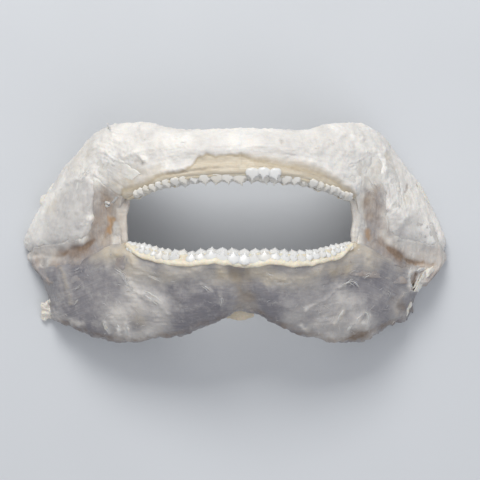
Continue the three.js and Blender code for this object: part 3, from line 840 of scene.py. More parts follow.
@functools.cache
def cartilage(jaw, side_name):
    """Points and layers of one cartilage with its forms."""
    body = jaw_body(jaw, side_name)
    u, angle = closing_lengths(), even_angles(body, CARTILAGE_COLUMNS)
    whole_u, whole_angle = np.meshgrid(u, angle, indexing="ij")
    points, v, height = skin_points(body, whole_u, whole_angle)
    normals = grid_normals(points, ring=True)
    front = smooth(height, 0.05, 0.4)
    layers = region_layers(jaw, points, v, front)
    along, around = travelled(points, 0), travelled(points, 1)

    rise = np.zeros(v.shape)
    if jaw == "upper":
        below, crisp = below_coat(points)
        rise -= (COAT_STEP + COAT_STEP * crisp) * smooth(below, -1, 1.4) * bell(below, 5) * front
        rise += COAT_ROLL * crisp * bell(below + 1.6, 1.2) * front
    raised, paint = laid_forms((jaw, side_name), points)
    rise += raised * front
    for layer, amount in paint.items():
        layers[layer] = np.clip(layers[layer] + amount * front, 0, 1.2)

    away_from_rim = smooth(v, 0.0, 0.14)  # the rim under the gum stays smooth
    coat = np.clip(layers["coat"], 0, 1)
    rise += SWELLING * lattice_noise(points, 13, 31) * away_from_rim
    rise += (BARE_LUMPS + COAT_LUMPS * coat) * fractal(points, 4.6, 32, 4) * away_from_rim
    fibre_place = np.stack([along / FIBRE_LENGTH, around / FIBRE_WIDTH, 0 * along], axis=-1)
    fibres = (BARE_FIBRES + COAT_FIBRES * coat) * fractal(fibre_place, 1, 35, 2)
    rise += fibres * away_from_rim * smooth(along, 1, 6)
    crease_place = points + 2.2 * np.concatenate([shake(points, 7), 0 * points[..., :1]], axis=-1)
    creases = 1 - 2 * np.abs(lattice_noise(crease_place, 5.5, 39))
    rise += CREASE_HEIGHT * smooth(creases, 0.55, 1) * coat * away_from_rim
    margin = smooth(v, 0.86, 1.0)  # the torn far edge
    broad, fine = TORN_MARGIN[jaw]
    rise += broad * margin * fractal(points, 7, 37, 2)
    rise += fine * margin * fractal(points, 2.1, 38, 3)
    points = points + normals * rise[..., None]
    points[0, :, 0] -= SEAM_OVERLAP * body["sign"]
    return points, {**layers, "along": along, "around": around}


def add_cartilage(jaw, side_name, material):
    """One half of a jaw, as a closed mesh."""
    grid, grid_layers = cartilage(jaw, side_name)
    points, faces, source = ring_mesh(grid)
    layers = ring_layers(grid_layers, source)
    piece = new_object(f"{jaw}_cartilage_{side_name}", points, faces, layers, material)
    return add_piece(piece, f"{jaw}_cartilage", f"{jaw}_jaw_{side_name}")


# ---------------------------------------------------------------------------------------------
# Gums and teeth
# ---------------------------------------------------------------------------------------------

# The distance of a gum's front edge from the rim, the height of the lip there, and the share of the jaw's
# length along which the gum runs.
GUMS = {
    "upper": {"edge": 9.3, "lip": 0.35, "end_u": 0.41},
    "lower": {"edge": 10.4, "lip": 1.2, "end_u": 0.47},
}
GUM_BACK = -16.0  # how far it runs down the inner face
GUM_SINK = 0.9  # how deep its under side lies in the cartilage
GUM_HEIGHT = 0.3  # of its outer side, away from the lip
EDGE_SINK, BACK_SINK, END_SINK = 0.25, 0.3, 0.4  # how deep its edges lie in the cartilage
GUM_RIPPLE = 0.45  # how far its front edge wanders
GUM_LUMPS = 0.28  # height of its lumps
GUM_ROWS = 190
GUM_COLUMNS, EDGE_COLUMNS = 44, 18  # from the back to near the front edge, and round that edge


def add_gum(jaw, side_name, material):
    """A roll of dried gum round the rim, from the inner face to a lip on the front."""
    body, size = jaw_body(jaw, side_name), GUMS[jaw]
    u = np.linspace(0, size["end_u"], GUM_ROWS)
    ripple = lattice_noise(np.stack([u * 40, 0 * u, 0 * u], axis=-1), 1, 41 + len(side_name))
    taper = 1 - 0.45 * smooth(u / size["end_u"], 0.8, 1)
    edge = (size["edge"] + GUM_RIPPLE * ripple) * taper
    round_edge = 0.8 + 0.2 * np.sin(np.linspace(0.1, math.pi / 2, EDGE_COLUMNS))
    share = np.concatenate([np.linspace(0, 0.8, GUM_COLUMNS), round_edge])
    distance = GUM_BACK + (edge[:, None] - GUM_BACK) * share[None]
    points, normals, _ = rim_points(body, u, distance)
    before_edge = edge[:, None] - distance
    lip = size["lip"] * bell(before_edge - 1.5, 1.2) + GUM_HEIGHT
    outer = lip * np.sqrt(smooth(before_edge, 0, 0.7)) - EDGE_SINK * (1 - smooth(before_edge, 0, 0.5))
    begun = smooth(distance, GUM_BACK, GUM_BACK + 2)
    outer = outer * begun - BACK_SINK * (1 - begun)
    outer = outer + GUM_LUMPS * fractal(points, 2.4, 43)
    ends = smooth(u, size["end_u"] - 0.02, size["end_u"])[:, None]
    outer = outer * (1 - ends) - END_SINK * ends
    outside = points + normals * outer[..., None]
    inner = points - normals * GUM_SINK
    ring = np.concatenate([outside, inner[:, ::-1]], axis=1)
    flat, faces, source = ring_mesh(ring)
    both = np.concatenate([before_edge, before_edge[:, ::-1]], axis=1)
    layers = {
        "along": travelled(ring, 0),
        "around": travelled(ring, 1),
        "dark": 0.45 * bell(both - 0.2, 0.5) + 0.35 * bell(both - 5, 1.5),
    }
    piece = new_object(f"{jaw}_gum_{side_name}", flat, faces, ring_layers(layers, source), material)
    return add_piece(piece, "dried_skin")


TOOTH_FILL = 1.26  # width of a tooth over the space it has, so that neighbours overlap
TOOTH_LIFT = 0.8  # of a tooth's middle over the skin of the rim
CORNER_TOOTH_RATIO = 0.42  # width of the last tooth over that of the middle one
# How unlike its neighbours a tooth is: in lean and turn (degrees), in width, sideways (mm), in height (mm, in
# the first row and behind it) and in how much root colour tints its crown.
LEAN_SPREAD, TURN_SPREAD, WIDTH_SPREAD, SIDE_SPREAD, AGE_SPREAD = 8, 10, 0.1, 0.16, 0.15
HEIGHT_SPREAD = (0.32, 0.2)
# The files of teeth on a side and where along the jaw the last one stands, the first row's distance from
# the rim, the distance between rows, and for each row how far the cusps lean back from upright (degrees).
TEETH = {
    "upper": {"files": 15, "last_u": 0.385, "first_row": 10.3, "pitch": 3.0,
              "lean": [6, 20, 42, 62, 82, 100, 116]},
    "lower": {"files": 16, "last_u": 0.44, "first_row": 5.9, "pitch": 4.2,
              "lean": [8, 40, 66, 84, 100, 112, 122]},
}
# One side of a tooth's outline in half-widths, from the tip of its cusp round to the middle of its foot.
TOOTH_SIDE = [
    (0, 1.02), (0.09, 0.85), (0.17, 0.66), (0.25, 0.56), (0.33, 0.66), (0.41, 0.5), (0.5, 0.42),
    (0.58, 0.5), (0.66, 0.34), (0.75, 0.26), (0.82, 0.3), (0.9, 0.08), (0.97, -0.06), (1.0, -0.32),
    (0.95, -0.54), (0.8, -0.72), (0.58, -0.82), (0.38, -0.88), (0.2, -0.99), (0, -1.04),
]
TOOTH_RINGS = [1.0, 0.95, 0.82, 0.6, 0.32, 0.08]
FACES = ((1, 0.24), (-1, 0.168))  # the way the front and the back of a tooth face, and their bulge
SPINE_START = -0.5  # where the line down the middle of a tooth starts
SPINE_HEIGHT, SPINE_WIDTH = 0.7, 0.35  # shares of the outline that the line down the middle keeps


def tooth_template():
    """A tooth in half-widths: x across, y towards the cusp, z out of its front face.

    Rings shrink from the outline to a line down the middle, which gives every cusp its ridge."""
    side = np.array(TOOTH_SIDE, float)
    outline = np.vstack([side, side[-2:0:-1] * [-1, 1]])
    spine_height = np.maximum(outline[:, 1] * SPINE_HEIGHT, SPINE_START)
    spine = np.column_stack([SPINE_WIDTH * outline[:, 0], spine_height])
    taper = 1 - 0.6 * smooth(outline[:, 1], 0.2, 1.3)  # thinner towards the tip
    reach = np.linalg.norm(outline - spine, axis=1)
    notches = reach - (np.roll(reach, 1) + np.roll(reach, -1)) / 2
    ribs = np.clip(4 * notches, -0.5, 0.5)  # a ridge on each cusp and a furrow at each notch
    count, points, faces = len(outline), [], []
    for face_sign, bulge in FACES:
        rings = []
        for ring in TOOTH_RINGS:
            if ring == 1 and face_sign < 0:
                rings.append(list(range(count)))
                continue
            rings.append(list(range(len(points), len(points) + count)))
            spots = spine + (outline - spine) * ring
            depth = face_sign * bulge * (taper * (1 - ring**3) ** 0.7 + ribs * ring * (1 - ring**6))
            points += np.column_stack([spots, depth]).tolist()
        for outer, inner in zip(rings[:-1], rings[1:]):
            for k in range(count):
                m = (k + 1) % count
                quad = [outer[k], outer[m], inner[m], inner[k]]
                faces.append(quad if face_sign < 0 else quad[::-1])
        faces.append(rings[-1] if face_sign < 0 else rings[-1][::-1])
    points = np.array(points)
    points[:, 2] -= 0.1 * (points[:, 1] + 0.1) ** 2 + 0.2 * points[:, 0] ** 2  # bent back all round
    crown = smooth(points[:, 1], -1.1, -0.6)
    return points, faces, crown


def tooth_files(body, files, last_u):
    """Where the files of teeth stand on one side: u along the rim and the width, the middle file first."""
    u = np.linspace(0, last_u, 400)
    rim, _, _ = skin_points(body, u, np.full(u.shape, RIM))
    reach = np.concatenate([[0], np.cumsum(np.linalg.norm(np.diff(rim, axis=0), axis=1))])
    sizes = 1 + (CORNER_TOOTH_RATIO - 1) * np.arange(files) / (files - 1)
    places = np.concatenate([[0], np.cumsum((sizes[:-1] + sizes[1:]) / 2)])
    scale = reach[-1] / places[-1]
    return np.interp(places * scale, reach, u), sizes * scale


def standing_tooth(jaw, side_name, file, row):
    """Whether a tooth is still there, by its file from the middle and its row from the front.

    Of the upper jaw's front row only three teeth on the right are left."""
    if jaw == "upper" and row > 0:
        return side_name == "right" or file < 13
    if jaw == "upper":
        return side_name == "right" and file in (1, 2, 3)
    return not (side_name == "left" and file == 6 and row == 0)


def add_teeth(jaw, material, width_scale):
    """All teeth of a jaw. Rows stand closer where the teeth are smaller."""
    rng = np.random.default_rng(61 if jaw == "upper" else 62)
    template, template_faces, template_crown = tooth_template()
    setting, shells = TEETH[jaw], []
    rows = len(setting["lean"])
    for side_name in SIDES:
        body = jaw_body(jaw, side_name)
        places, widths = tooth_files(body, setting["files"], setting["last_u"])
        shrink = 0.55 + 0.45 * widths[:, None] / widths[0]
        distance = setting["first_row"] - np.arange(rows)[None] * setting["pitch"] * shrink
        bases, normals, _ = rim_points(body, places, distance)
        _, ways_out, ways_back = rim_points(body, places, np.zeros((len(places), 1)))
        for file, row in itertools.product(range(setting["files"]), range(rows)):
            spread = rng.normal(0, 1, 6)
            if (file == 0 and side_name == "left") or not standing_tooth(jaw, side_name, file, row):
                continue
            lean = math.radians(setting["lean"][row] + LEAN_SPREAD * spread[0])
            out, back = ways_out[file, 0], ways_back[file, 0]
            cusp = out * math.cos(lean) + back * math.sin(lean)
            face = out * math.sin(lean) - back * math.cos(lean)
            across = np.cross(cusp, face)
            turn = math.radians(TURN_SPREAD * spread[1])
            turned = cusp * math.cos(turn) + across * math.sin(turn)
            across = across * math.cos(turn) - cusp * math.sin(turn)
            half = widths[file] * TOOTH_FILL * width_scale * (1 + WIDTH_SPREAD * spread[2]) / 2
            base = bases[file, row] + normals[file, row] * TOOTH_LIFT * (0.4 + 0.2 * half)
            base = base + across * SIDE_SPREAD * spread[3] + turned * HEIGHT_SPREAD[row > 0] * spread[4]
            shape = template[:, :1] * across + template[:, 1:2] * turned + template[:, 2:] * face
            # The upper jaw's rows behind the first stand in shade, so their crowns take more root cream as
            # painted shade; elsewhere the tint is a tooth's own tone.
            age = (0.4 if jaw == "upper" and row > 0 else 0.05) + AGE_SPREAD * spread[5]
            layers = {"crown": template_crown, "age": min(max(age, 0), 1)}
            shells.append((base + half * shape, template_faces, layers))
    piece = new_object(f"{jaw}_teeth", *joined(shells), material)
    return add_piece(piece, "tooth_enamel")


# ---------------------------------------------------------------------------------------------
# Skin of the mouth corners, joint capsules and the web of the chin
# ---------------------------------------------------------------------------------------------

TISSUE_SEAM = 3  # where x is mirrored for the corners and capsules
TISSUE_MIDDLE = TISSUE_SEAM + TO_FOOTPRINT_MIDDLE[0]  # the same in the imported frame
WEB_SEAM = -5  # where the web starts in x
WHOLE = {"sign": 1, "tissue": (1, 1)}  # the side of a body that isn't mirrored
# Rows and columns of the bodies and of the sheets that dried over them.
CORNER_GRID, CORNER_SHEET_GRID = (170, 150), (170, 130)
CAPSULE_GRID, CAPSULE_SHEET_GRID = (170, 110), (120, 100)
WEB_GRID = (60, 90)
CORNER_STATIONS = [
    [55, 34, 44, 80, 35, 32, 1.4, 1.4],
    [56.5, 24, 47, 79, 26, 36, 1.4, 1.4],
    [59.8, 14.5, 45, 78.5, 15, 31, 1.4, 1.4],
    [60.4, 5, 44, 78.5, 3, 29, 1.4, 1.4],
    [59.8, -4, 43.5, 78, -8, 30, 1.4, 1.4],
    [56, -12, 43, 76, -15, 33, 1.4, 1.4],
]
CAPSULE_STATIONS = [
    [70, 0, 30, 70, -14, 37, 5, 5],
    [79, -2, 25, 79, -16, 33, 5.5, 5],
    [86, -4, 21, 88, -19, 28, 6, 6],
    [97, -6, 14, 97, -22, 18, 6, 6],
    [107, -7, 7.5, 107, -21, 8.5, 5, 5],
    [113.2, -8.5, 4.5, 112, -18, 4.5, 3.6, 3.6],
    [116.2, -11, 3.2, 115.6, -14, 3.2, 1.5, 1.5],
]
WEB_STATIONS = [
    [0, -28, 45, 0, -43.5, 43, 3, 2],
    [7, -27, 46, 7, -45, 43, 3, 2],
    [14, -28, 46, 14, -43, 43, 3, 2],
]
# Where the skin of the corners is thinnest.
CORNER_THIN = {"left": [(-64.6, 7.4), (-65.4, 1.5)], "right": [(68.6, 0.6), (68.9, -1.6)]}
# The crease between the end of the upper jaw and the lower jaw.
CREASES = {
    "left": [(-113, -13), (-105.8, -11.4), (-93.7, -12.1), (-86.8, -8.6), (-78.1, -6.3), (-73.6, -3.4)],
    "right": [
        (72.9, -3.9), (80.5, -8.1), (85.5, -11), (91, -14.4), (97, -15.2), (104.8, -16.7), (113, -19),
    ],
}
# Sheets that dried over the pieces below them: their inner and outer edge, as out and y.
CORNER_SHEET = (
    [(50, 31), (57, 25), (61.6, 15), (62.2, 4), (61.4, -6), (57, -14), (50, -22)],
    [(64, 42), (82, 37), (88, 26), (89, 10), (89, 0), (89, -14), (87, -27)],
)
CAPSULE_SHEET = (
    [(84, 9), (84, 2), (84, -8), (84, -18), (82, -28)],
    [(107, 6), (111, -3), (113.5, -10), (113, -17), (103, -28)],
)
PALE_STRIP_END = 68.5  # where the thick pale edge of a corner ends, as out
PALE_SLOPE = {"left": (78, 82), "right": (73, 84)}  # where the pale end of the upper jaw starts, as out
PALE_JOINT = (86, 94)  # where the skin over the joint turns pale, as out
HOLLOWS_FILLED = {"left": 9, "right": 22}  # how many times the sheets' hollows are filled
MAP_CELL = 0.5
MAP_BLUR = 3  # cells
SHEET_THICKNESS = 1.5
SHEET_SINK, RIM_SINK = 0.5, 2.0  # how far a sheet lies below the surface where unseen, and at its edges
PLEAT_WIDTH, PLEAT_LENGTH = 1.3, 8
SKIN_LUMPS, SKIN_PLEATS = 0.22, 0.2  # their height on a sheet
EDGE_RISE = 1.0  # height of the thick edge of a corner
EDGE_WANDER = 0.7  # how far that edge wanders sideways
CAPSULE_LUMPS, CAPSULE_SINK = 0.5, 0.3
WEB_LUMPS = 0.35


def tissue_points(stations, seam_x, rows, columns, side_name=None):
    """Points, v, heights and outward normals of a closed body of tissue."""
    side = SIDES.get(side_name, WHOLE)
    body = {"stations": stations, "seam_x": seam_x, "sign": side["sign"], "reach": side["tissue"]}
    body["mirrored"] = False
    u, angle = np.linspace(0, 1, rows), even_angles(body, columns)
    whole_u, whole_angle = np.meshgrid(u, angle, indexing="ij")
    points, v, height = skin_points(body, whole_u, whole_angle)
    return points, v, height, grid_normals(points, ring=True)


def shell(points, layers):
    """A closed shell for joined(), from a grid whose rows are rings."""
    flat, faces, source = ring_mesh(points)
    layers = {"along": travelled(points, 0), "around": travelled(points, 1), **layers}
    return flat, faces, ring_layers(layers, source)


def corner_body(side_name):
    """The skin of a mouth corner: a thick pale edge, then a thin slope."""
    points, v, height, normals = tissue_points(CORNER_STATIONS, TISSUE_SEAM, *CORNER_GRID, side_name)
    strip = smooth(-v, -0.46, -0.36)
    pleats = np.stack([points[..., 0], points[..., 1] / 9, 0 * v], axis=-1)
    rise = EDGE_RISE * strip + 0.25 * fractal(points, 3, 71)
    rise = rise + (0.12 * strip + 0.12) * fractal(pleats, 1, 73, 2)
    points = points + normals * (rise * smooth(height, -0.2, 0.3))[..., None]
    points[..., 0] += EDGE_WANDER * lattice_noise(points, 7, 75) * smooth(-v, -0.4, -0.1)
    return points


def capsule_body(side_name):
    """The capsule of a joint: a lumpy tube from the mouth corner to the ends of the jaws."""
    points, _, _, normals = tissue_points(CAPSULE_STATIONS, TISSUE_SEAM, *CAPSULE_GRID, side_name)
    return points + normals * (CAPSULE_LUMPS * fractal(points, 3.4, 81, 4) - CAPSULE_SINK)[..., None]


def blurred(values, known, width):
    """A map smoothed over a width in cells, from its known cells only."""
    reach = np.arange(-3 * width, 3 * width + 1)
    kernel = bell(reach, width)
    total, share = values * known, known
    for axis in (0, 1):
        total = np.apply_along_axis(np.convolve, axis, total, kernel, "same")
        share = np.apply_along_axis(np.convolve, axis, share, kernel, "same")
    return total / np.maximum(share, 1e-9)


@functools.cache
def front_maps(side_name):
    """Maps of the front's height over one side, as it is and with its hollows bridged by skin."""
    shapes = [cartilage(jaw, side_name)[0] for jaw in ("upper", "lower")]
    shapes += [corner_body(side_name), capsule_body(side_name)]
    points = np.vstack([shape.reshape(-1, 3) for shape in shapes])
    corner = points[:, :2].min(axis=0)
    cells = ((points[:, :2] - corner) / MAP_CELL).astype(int)
    ground = np.full(cells.max(axis=0) + 2, -np.inf)
    np.maximum.at(ground, tuple(cells.T), points[:, 2])
    around = [np.roll(ground, step, axis=(0, 1)) for step in itertools.product((-1, 0, 1), repeat=2)]
    ground = np.where(np.isinf(ground), np.max(around, axis=0), ground)
    known = np.isfinite(ground).astype(float)
    ground = np.where(known > 0, ground, 0)
    stretched = ground
    for _ in range(HOLLOWS_FILLED[side_name]):
        stretched = np.maximum(ground, blurred(stretched, known, MAP_BLUR))
    return corner, blurred(ground, known, 1), blurred(stretched, known, 1)


def read_map(heights, corner, x, y):
    """Heights of a map at x and y, between its cells as well."""
    place = np.stack([(x - corner[0]) / MAP_CELL - 0.5, (y - corner[1]) / MAP_CELL - 0.5])
    place = np.clip(place, 0, np.array(heights.shape).reshape(2, *[1] * np.ndim(x)) - 1.001)
    i, j = place.astype(int)
    a, b = place - [i, j]
    low = heights[i, j] * (1 - a) + heights[i + 1, j] * a
    high = heights[i, j + 1] * (1 - a) + heights[i + 1, j + 1] * a
    return low * (1 - b) + high * b


def draped_sheet(edges, side_name, rows, columns):
    """A sheet that bridges the hollows below it and sinks out of sight elsewhere."""
    side = SIDES[side_name]
    u, v = np.meshgrid(np.linspace(0, 1, rows), np.linspace(0, 1, columns), indexing="ij")
    inner, outer = (on_line(edge, u[:, 0] * (len(edge) - 1)) for edge in edges)
    flat = inner[:, None] * (1 - v[..., None]) + outer[:, None] * v[..., None]
    x, y = side["sign"] * side["tissue"][0] * flat[..., 0] + TISSUE_MIDDLE, flat[..., 1]
    corner, ground, stretched = front_maps(side_name)
    below, bridge = (read_map(heights, corner, x, y) for heights in (ground, stretched))
    rim = smooth(np.minimum(np.minimum(u, 1 - u) * rows, np.minimum(v, 1 - v) * columns), 1, 6)
    seen = smooth(bridge - below, 0.25, 1.1) * rim
    top = np.stack([x, y, bridge - SHEET_SINK * (1 - seen) - RIM_SINK * (1 - rim)], axis=-1)
    pleats = np.stack([x / PLEAT_WIDTH, y / PLEAT_LENGTH, 0 * x], axis=-1)
    top[..., 2] += seen * (SKIN_LUMPS * fractal(top, 3, 71) + SKIN_PLEATS * fractal(pleats, 1, 73, 2))
    gap = path_distance(top[..., :2], smooth_path(CREASES[side_name]))
    top[..., 2] -= (0.5 + 0.4 * lattice_noise(top, 5, 88)) * seen * bell(gap, 0.8)
    top[..., 2] += laid_forms(("tissue", side_name), top)[0] * seen
    under = top - [0, 0, SHEET_THICKNESS]
    return np.concatenate([top, under[:, ::-1]], axis=1)


def tissue_layers(points, side_name):
    """Where skin and capsules are pale, grey, thin enough to glow, or stained, and where the crease's shadow
    is painted on them.
    """
    side = SIDES[side_name]
    x, y = points[..., 0], points[..., 1]
    out = side["sign"] * (x - TISSUE_MIDDLE) / side["tissue"][0] + 1.2 * lattice_noise(points, 4, 76)
    out += 2.4 * lattice_noise(points, 12, 77) * smooth(out, 71, 77)
    crease = np.array(sorted(CREASES[side_name]))
    above = y - np.interp(x, crease[:, 0], crease[:, 1])
    gap = path_distance(points[..., :2], smooth_path(CREASES[side_name]))
    shaken = points[..., :2] + 0.9 * shake(points, 2.5)
    thin = path_distance(shaken, np.array(CORNER_THIN[side_name]))

    # Pale are the thick edge beside the mouth, the slope up to the upper jaw and the skin over the joint.
    strip = smooth(PALE_STRIP_END - out, 0, 3.5) * smooth(y, -13, -7)
    slope = np.maximum(smooth(out, *PALE_SLOPE[side_name]) * smooth(above, 0, 4), smooth(y, 19, 27))
    joint = smooth(out, *PALE_JOINT) * smooth(above, -5, -0.5)
    pale = np.maximum(0.85 * joint, np.maximum(0.62 * strip, 0.85 * slope))
    # The skin over the lower jaw is grey with patches of horn, and the brown band lies in the crease in
    # pieces:
    # partly real staining, partly painted shadow under the upper jaw's end.
    low = smooth(-y, 4, 11) * (1 - strip)
    grey = 0.1 + 0.65 * low + 0.25 * smooth(out, 74, 80) + 0.3 * lattice_noise(points, 5, 83)
    horn = 0.3 * low * (0.5 + 0.5 * lattice_noise(points, 7, 86))
    broken = np.clip(0.6 + 0.8 * lattice_noise(points, 4.5, 87), 0.1, 1) * bell(out - 82, 9)
    layers = {
        "coat": np.clip(pale + 0.25 * lattice_noise(points, 4, 84), 0, 1.1),
        "deep": np.clip(grey, 0, 1),
        "gum": 0.75 * (1 - smooth(thin, 0.4, 3.2)) + horn,
        # Along the crease: partly real staining, partly painted shadow under the upper jaw's end.
        "stain": broken * (bell(gap, 0.8) + 0.4 * bell(gap, 2.6)),
    }
    for layer, amount in laid_forms(("tissue", side_name), points)[1].items():
        layers[layer] = np.clip(layers[layer] + amount, 0, 1.2)
    return layers


def add_tissue(name, slot, node, body, sheet, side_name, material):
    """Adds a body of tissue and the sheet that dried over it, as one piece that stands for a node."""
    shells = [shell(points, tissue_layers(points, side_name)) for points in (body, sheet)]
    piece = new_object(f"{name}_{side_name}", *joined(shells), material)
    return add_piece(piece, slot, f"{node}_{side_name}")


def add_corner(side_name, material):
    body, sheet = corner_body(side_name), draped_sheet(CORNER_SHEET, side_name, *CORNER_SHEET_GRID)
    return add_tissue("corner_skin", "dried_skin", "mouth_corner", body, sheet, side_name, material)


def add_capsule(side_name, material):
    body, sheet = capsule_body(side_name), draped_sheet(CAPSULE_SHEET, side_name, *CAPSULE_SHEET_GRID)
    return add_tissue("dried_capsule", "joint_capsule", "joint_capsule", body, sheet, side_name, material)


def add_web(material):
    """The web of skin behind the notch of the chin."""
    points, v, _, normals = tissue_points(WEB_STATIONS, WEB_SEAM, *WEB_GRID)
    points = points + normals * (WEB_LUMPS * fractal(points, 2.5, 91))[..., None]
    piece = new_object("notch_web", *shell(points, {"dark": 0.5 * smooth(v, 0.4, 1.0)}), material)
    return add_piece(piece, "dried_skin", "chin_web")


# ---------------------------------------------------------------------------------------------
# Torn scraps and loose fibres
# ---------------------------------------------------------------------------------------------

# Outline of each scrap of torn tissue, as x, y and z, and its thickness.
SCRAPS = {
    "left": [
        ([(-96.6, -36.7, 8), (-99.8, -35.1, 7), (-102.4, -36.4, 6), (-104.6, -37.4, 4.6),
          (-104.4, -41, 4), (-105, -43.6, 3), (-103.4, -46.4, 2.4), (-99.4, -46, 3),
          (-95.5, -45.3, 5), (-94.4, -40, 8)], 3.0),
        ([(-97, 27.5, 8), (-98.6, 26.5, 8), (-101.6, 21.5, 7), (-100, 21, 8)], 1.4),
        ([(-101.5, 21.5, 6), (-104.6, 20.5, 5), (-105, 16.6, 5), (-102.5, 16, 6)], 1.6),
        ([(-68, 54, 30), (-66.5, 56.8, 29), (-64, 55.6, 31), (-66, 52.5, 33)], 1.6),
    ],
    "right": [
        ([(77.5, 50, 25), (79, 50.6, 24), (82.5, 46.6, 19), (80.5, 46, 21)], 1.3),
        ([(97, 27.5, 11), (99, 26.5, 9), (103.6, 18, 8), (101.4, 17.6, 10), (98, 23, 12)], 1.5),
        ([(72.6, 54, 24), (75.6, 54.4, 21), (77, 51.6, 22), (74, 51, 26)], 1.5),
        ([(104.6, -17.4, 16.5), (106, -19.4, 14.5), (103.6, -22.6, 15), (101.2, -25.6, 15.5),
          (98.8, -28.8, 16.5), (96.6, -31.2, 17.5), (94.6, -30.6, 21.5), (96.2, -26.4, 22.6),
          (98.2, -22.6, 21.6), (100.6, -19.2, 20)], 2.6),
        ([(84.5, -36, 24), (88, -35.4, 22), (93.6, -36.6, 14), (93, -40.5, 12), (91, -44.6, 12),
          (87, -42.5, 16)], 2.2),
    ],
}
SCRAP_TEAR = 0.15  # how far its outline is torn, as a share of its size
SCRAP_CRUMPLE = 0.4  # height of its folds over its thickness
SCRAP_RINGS = np.concatenate([np.linspace(0.02, 0.9, 12), [0.96, 1.0]])  # shares of its size


def scrap(outline, thickness, seed):
    """A torn, crumpled flake of tissue, closed all round."""
    edge, rings = smooth_path([*outline, outline[0]], 14)[:-1], SCRAP_RINGS
    middle = edge.mean(axis=0)
    torn = 1 + SCRAP_TEAR * fractal(edge, 2.4, seed, 4)
    edge = middle + (edge - middle) * torn[:, None]
    top = middle + (edge - middle)[None] * rings[:, None, None]
    bottom = top[::-1].copy()
    half = thickness / 2 * np.sqrt(1 - rings**2 * 0.98)
    crumple = SCRAP_CRUMPLE * thickness * fractal(top, 3.2, seed + 5)
    top[..., 2] += half[:, None] + crumple
    bottom[..., 2] += -half[::-1, None] + crumple[::-1]
    flat, faces, source = ring_mesh(np.concatenate([top, bottom]))
    share = np.concatenate([rings, rings[::-1]])
    return flat, faces, np.repeat(share, len(edge))[source]


def add_scraps(side_name, material):
    shells = []
    for number, (outline, thickness) in enumerate(SCRAPS[side_name]):
        flat, faces, edge = scrap(outline, thickness, 101 + 10 * number)
        layers = {"dark": 0.5 * smooth(edge, 0.85, 1.0), "along": flat[:, 1], "around": flat[:, 0]}
        shells.append((flat, faces, layers))
    piece = new_object(f"torn_tissue_{side_name}", *joined(shells), material)
    return add_piece(piece, "dried_skin")


FINE = 0.1  # radius of a loose fibre; what is thicker is a cord
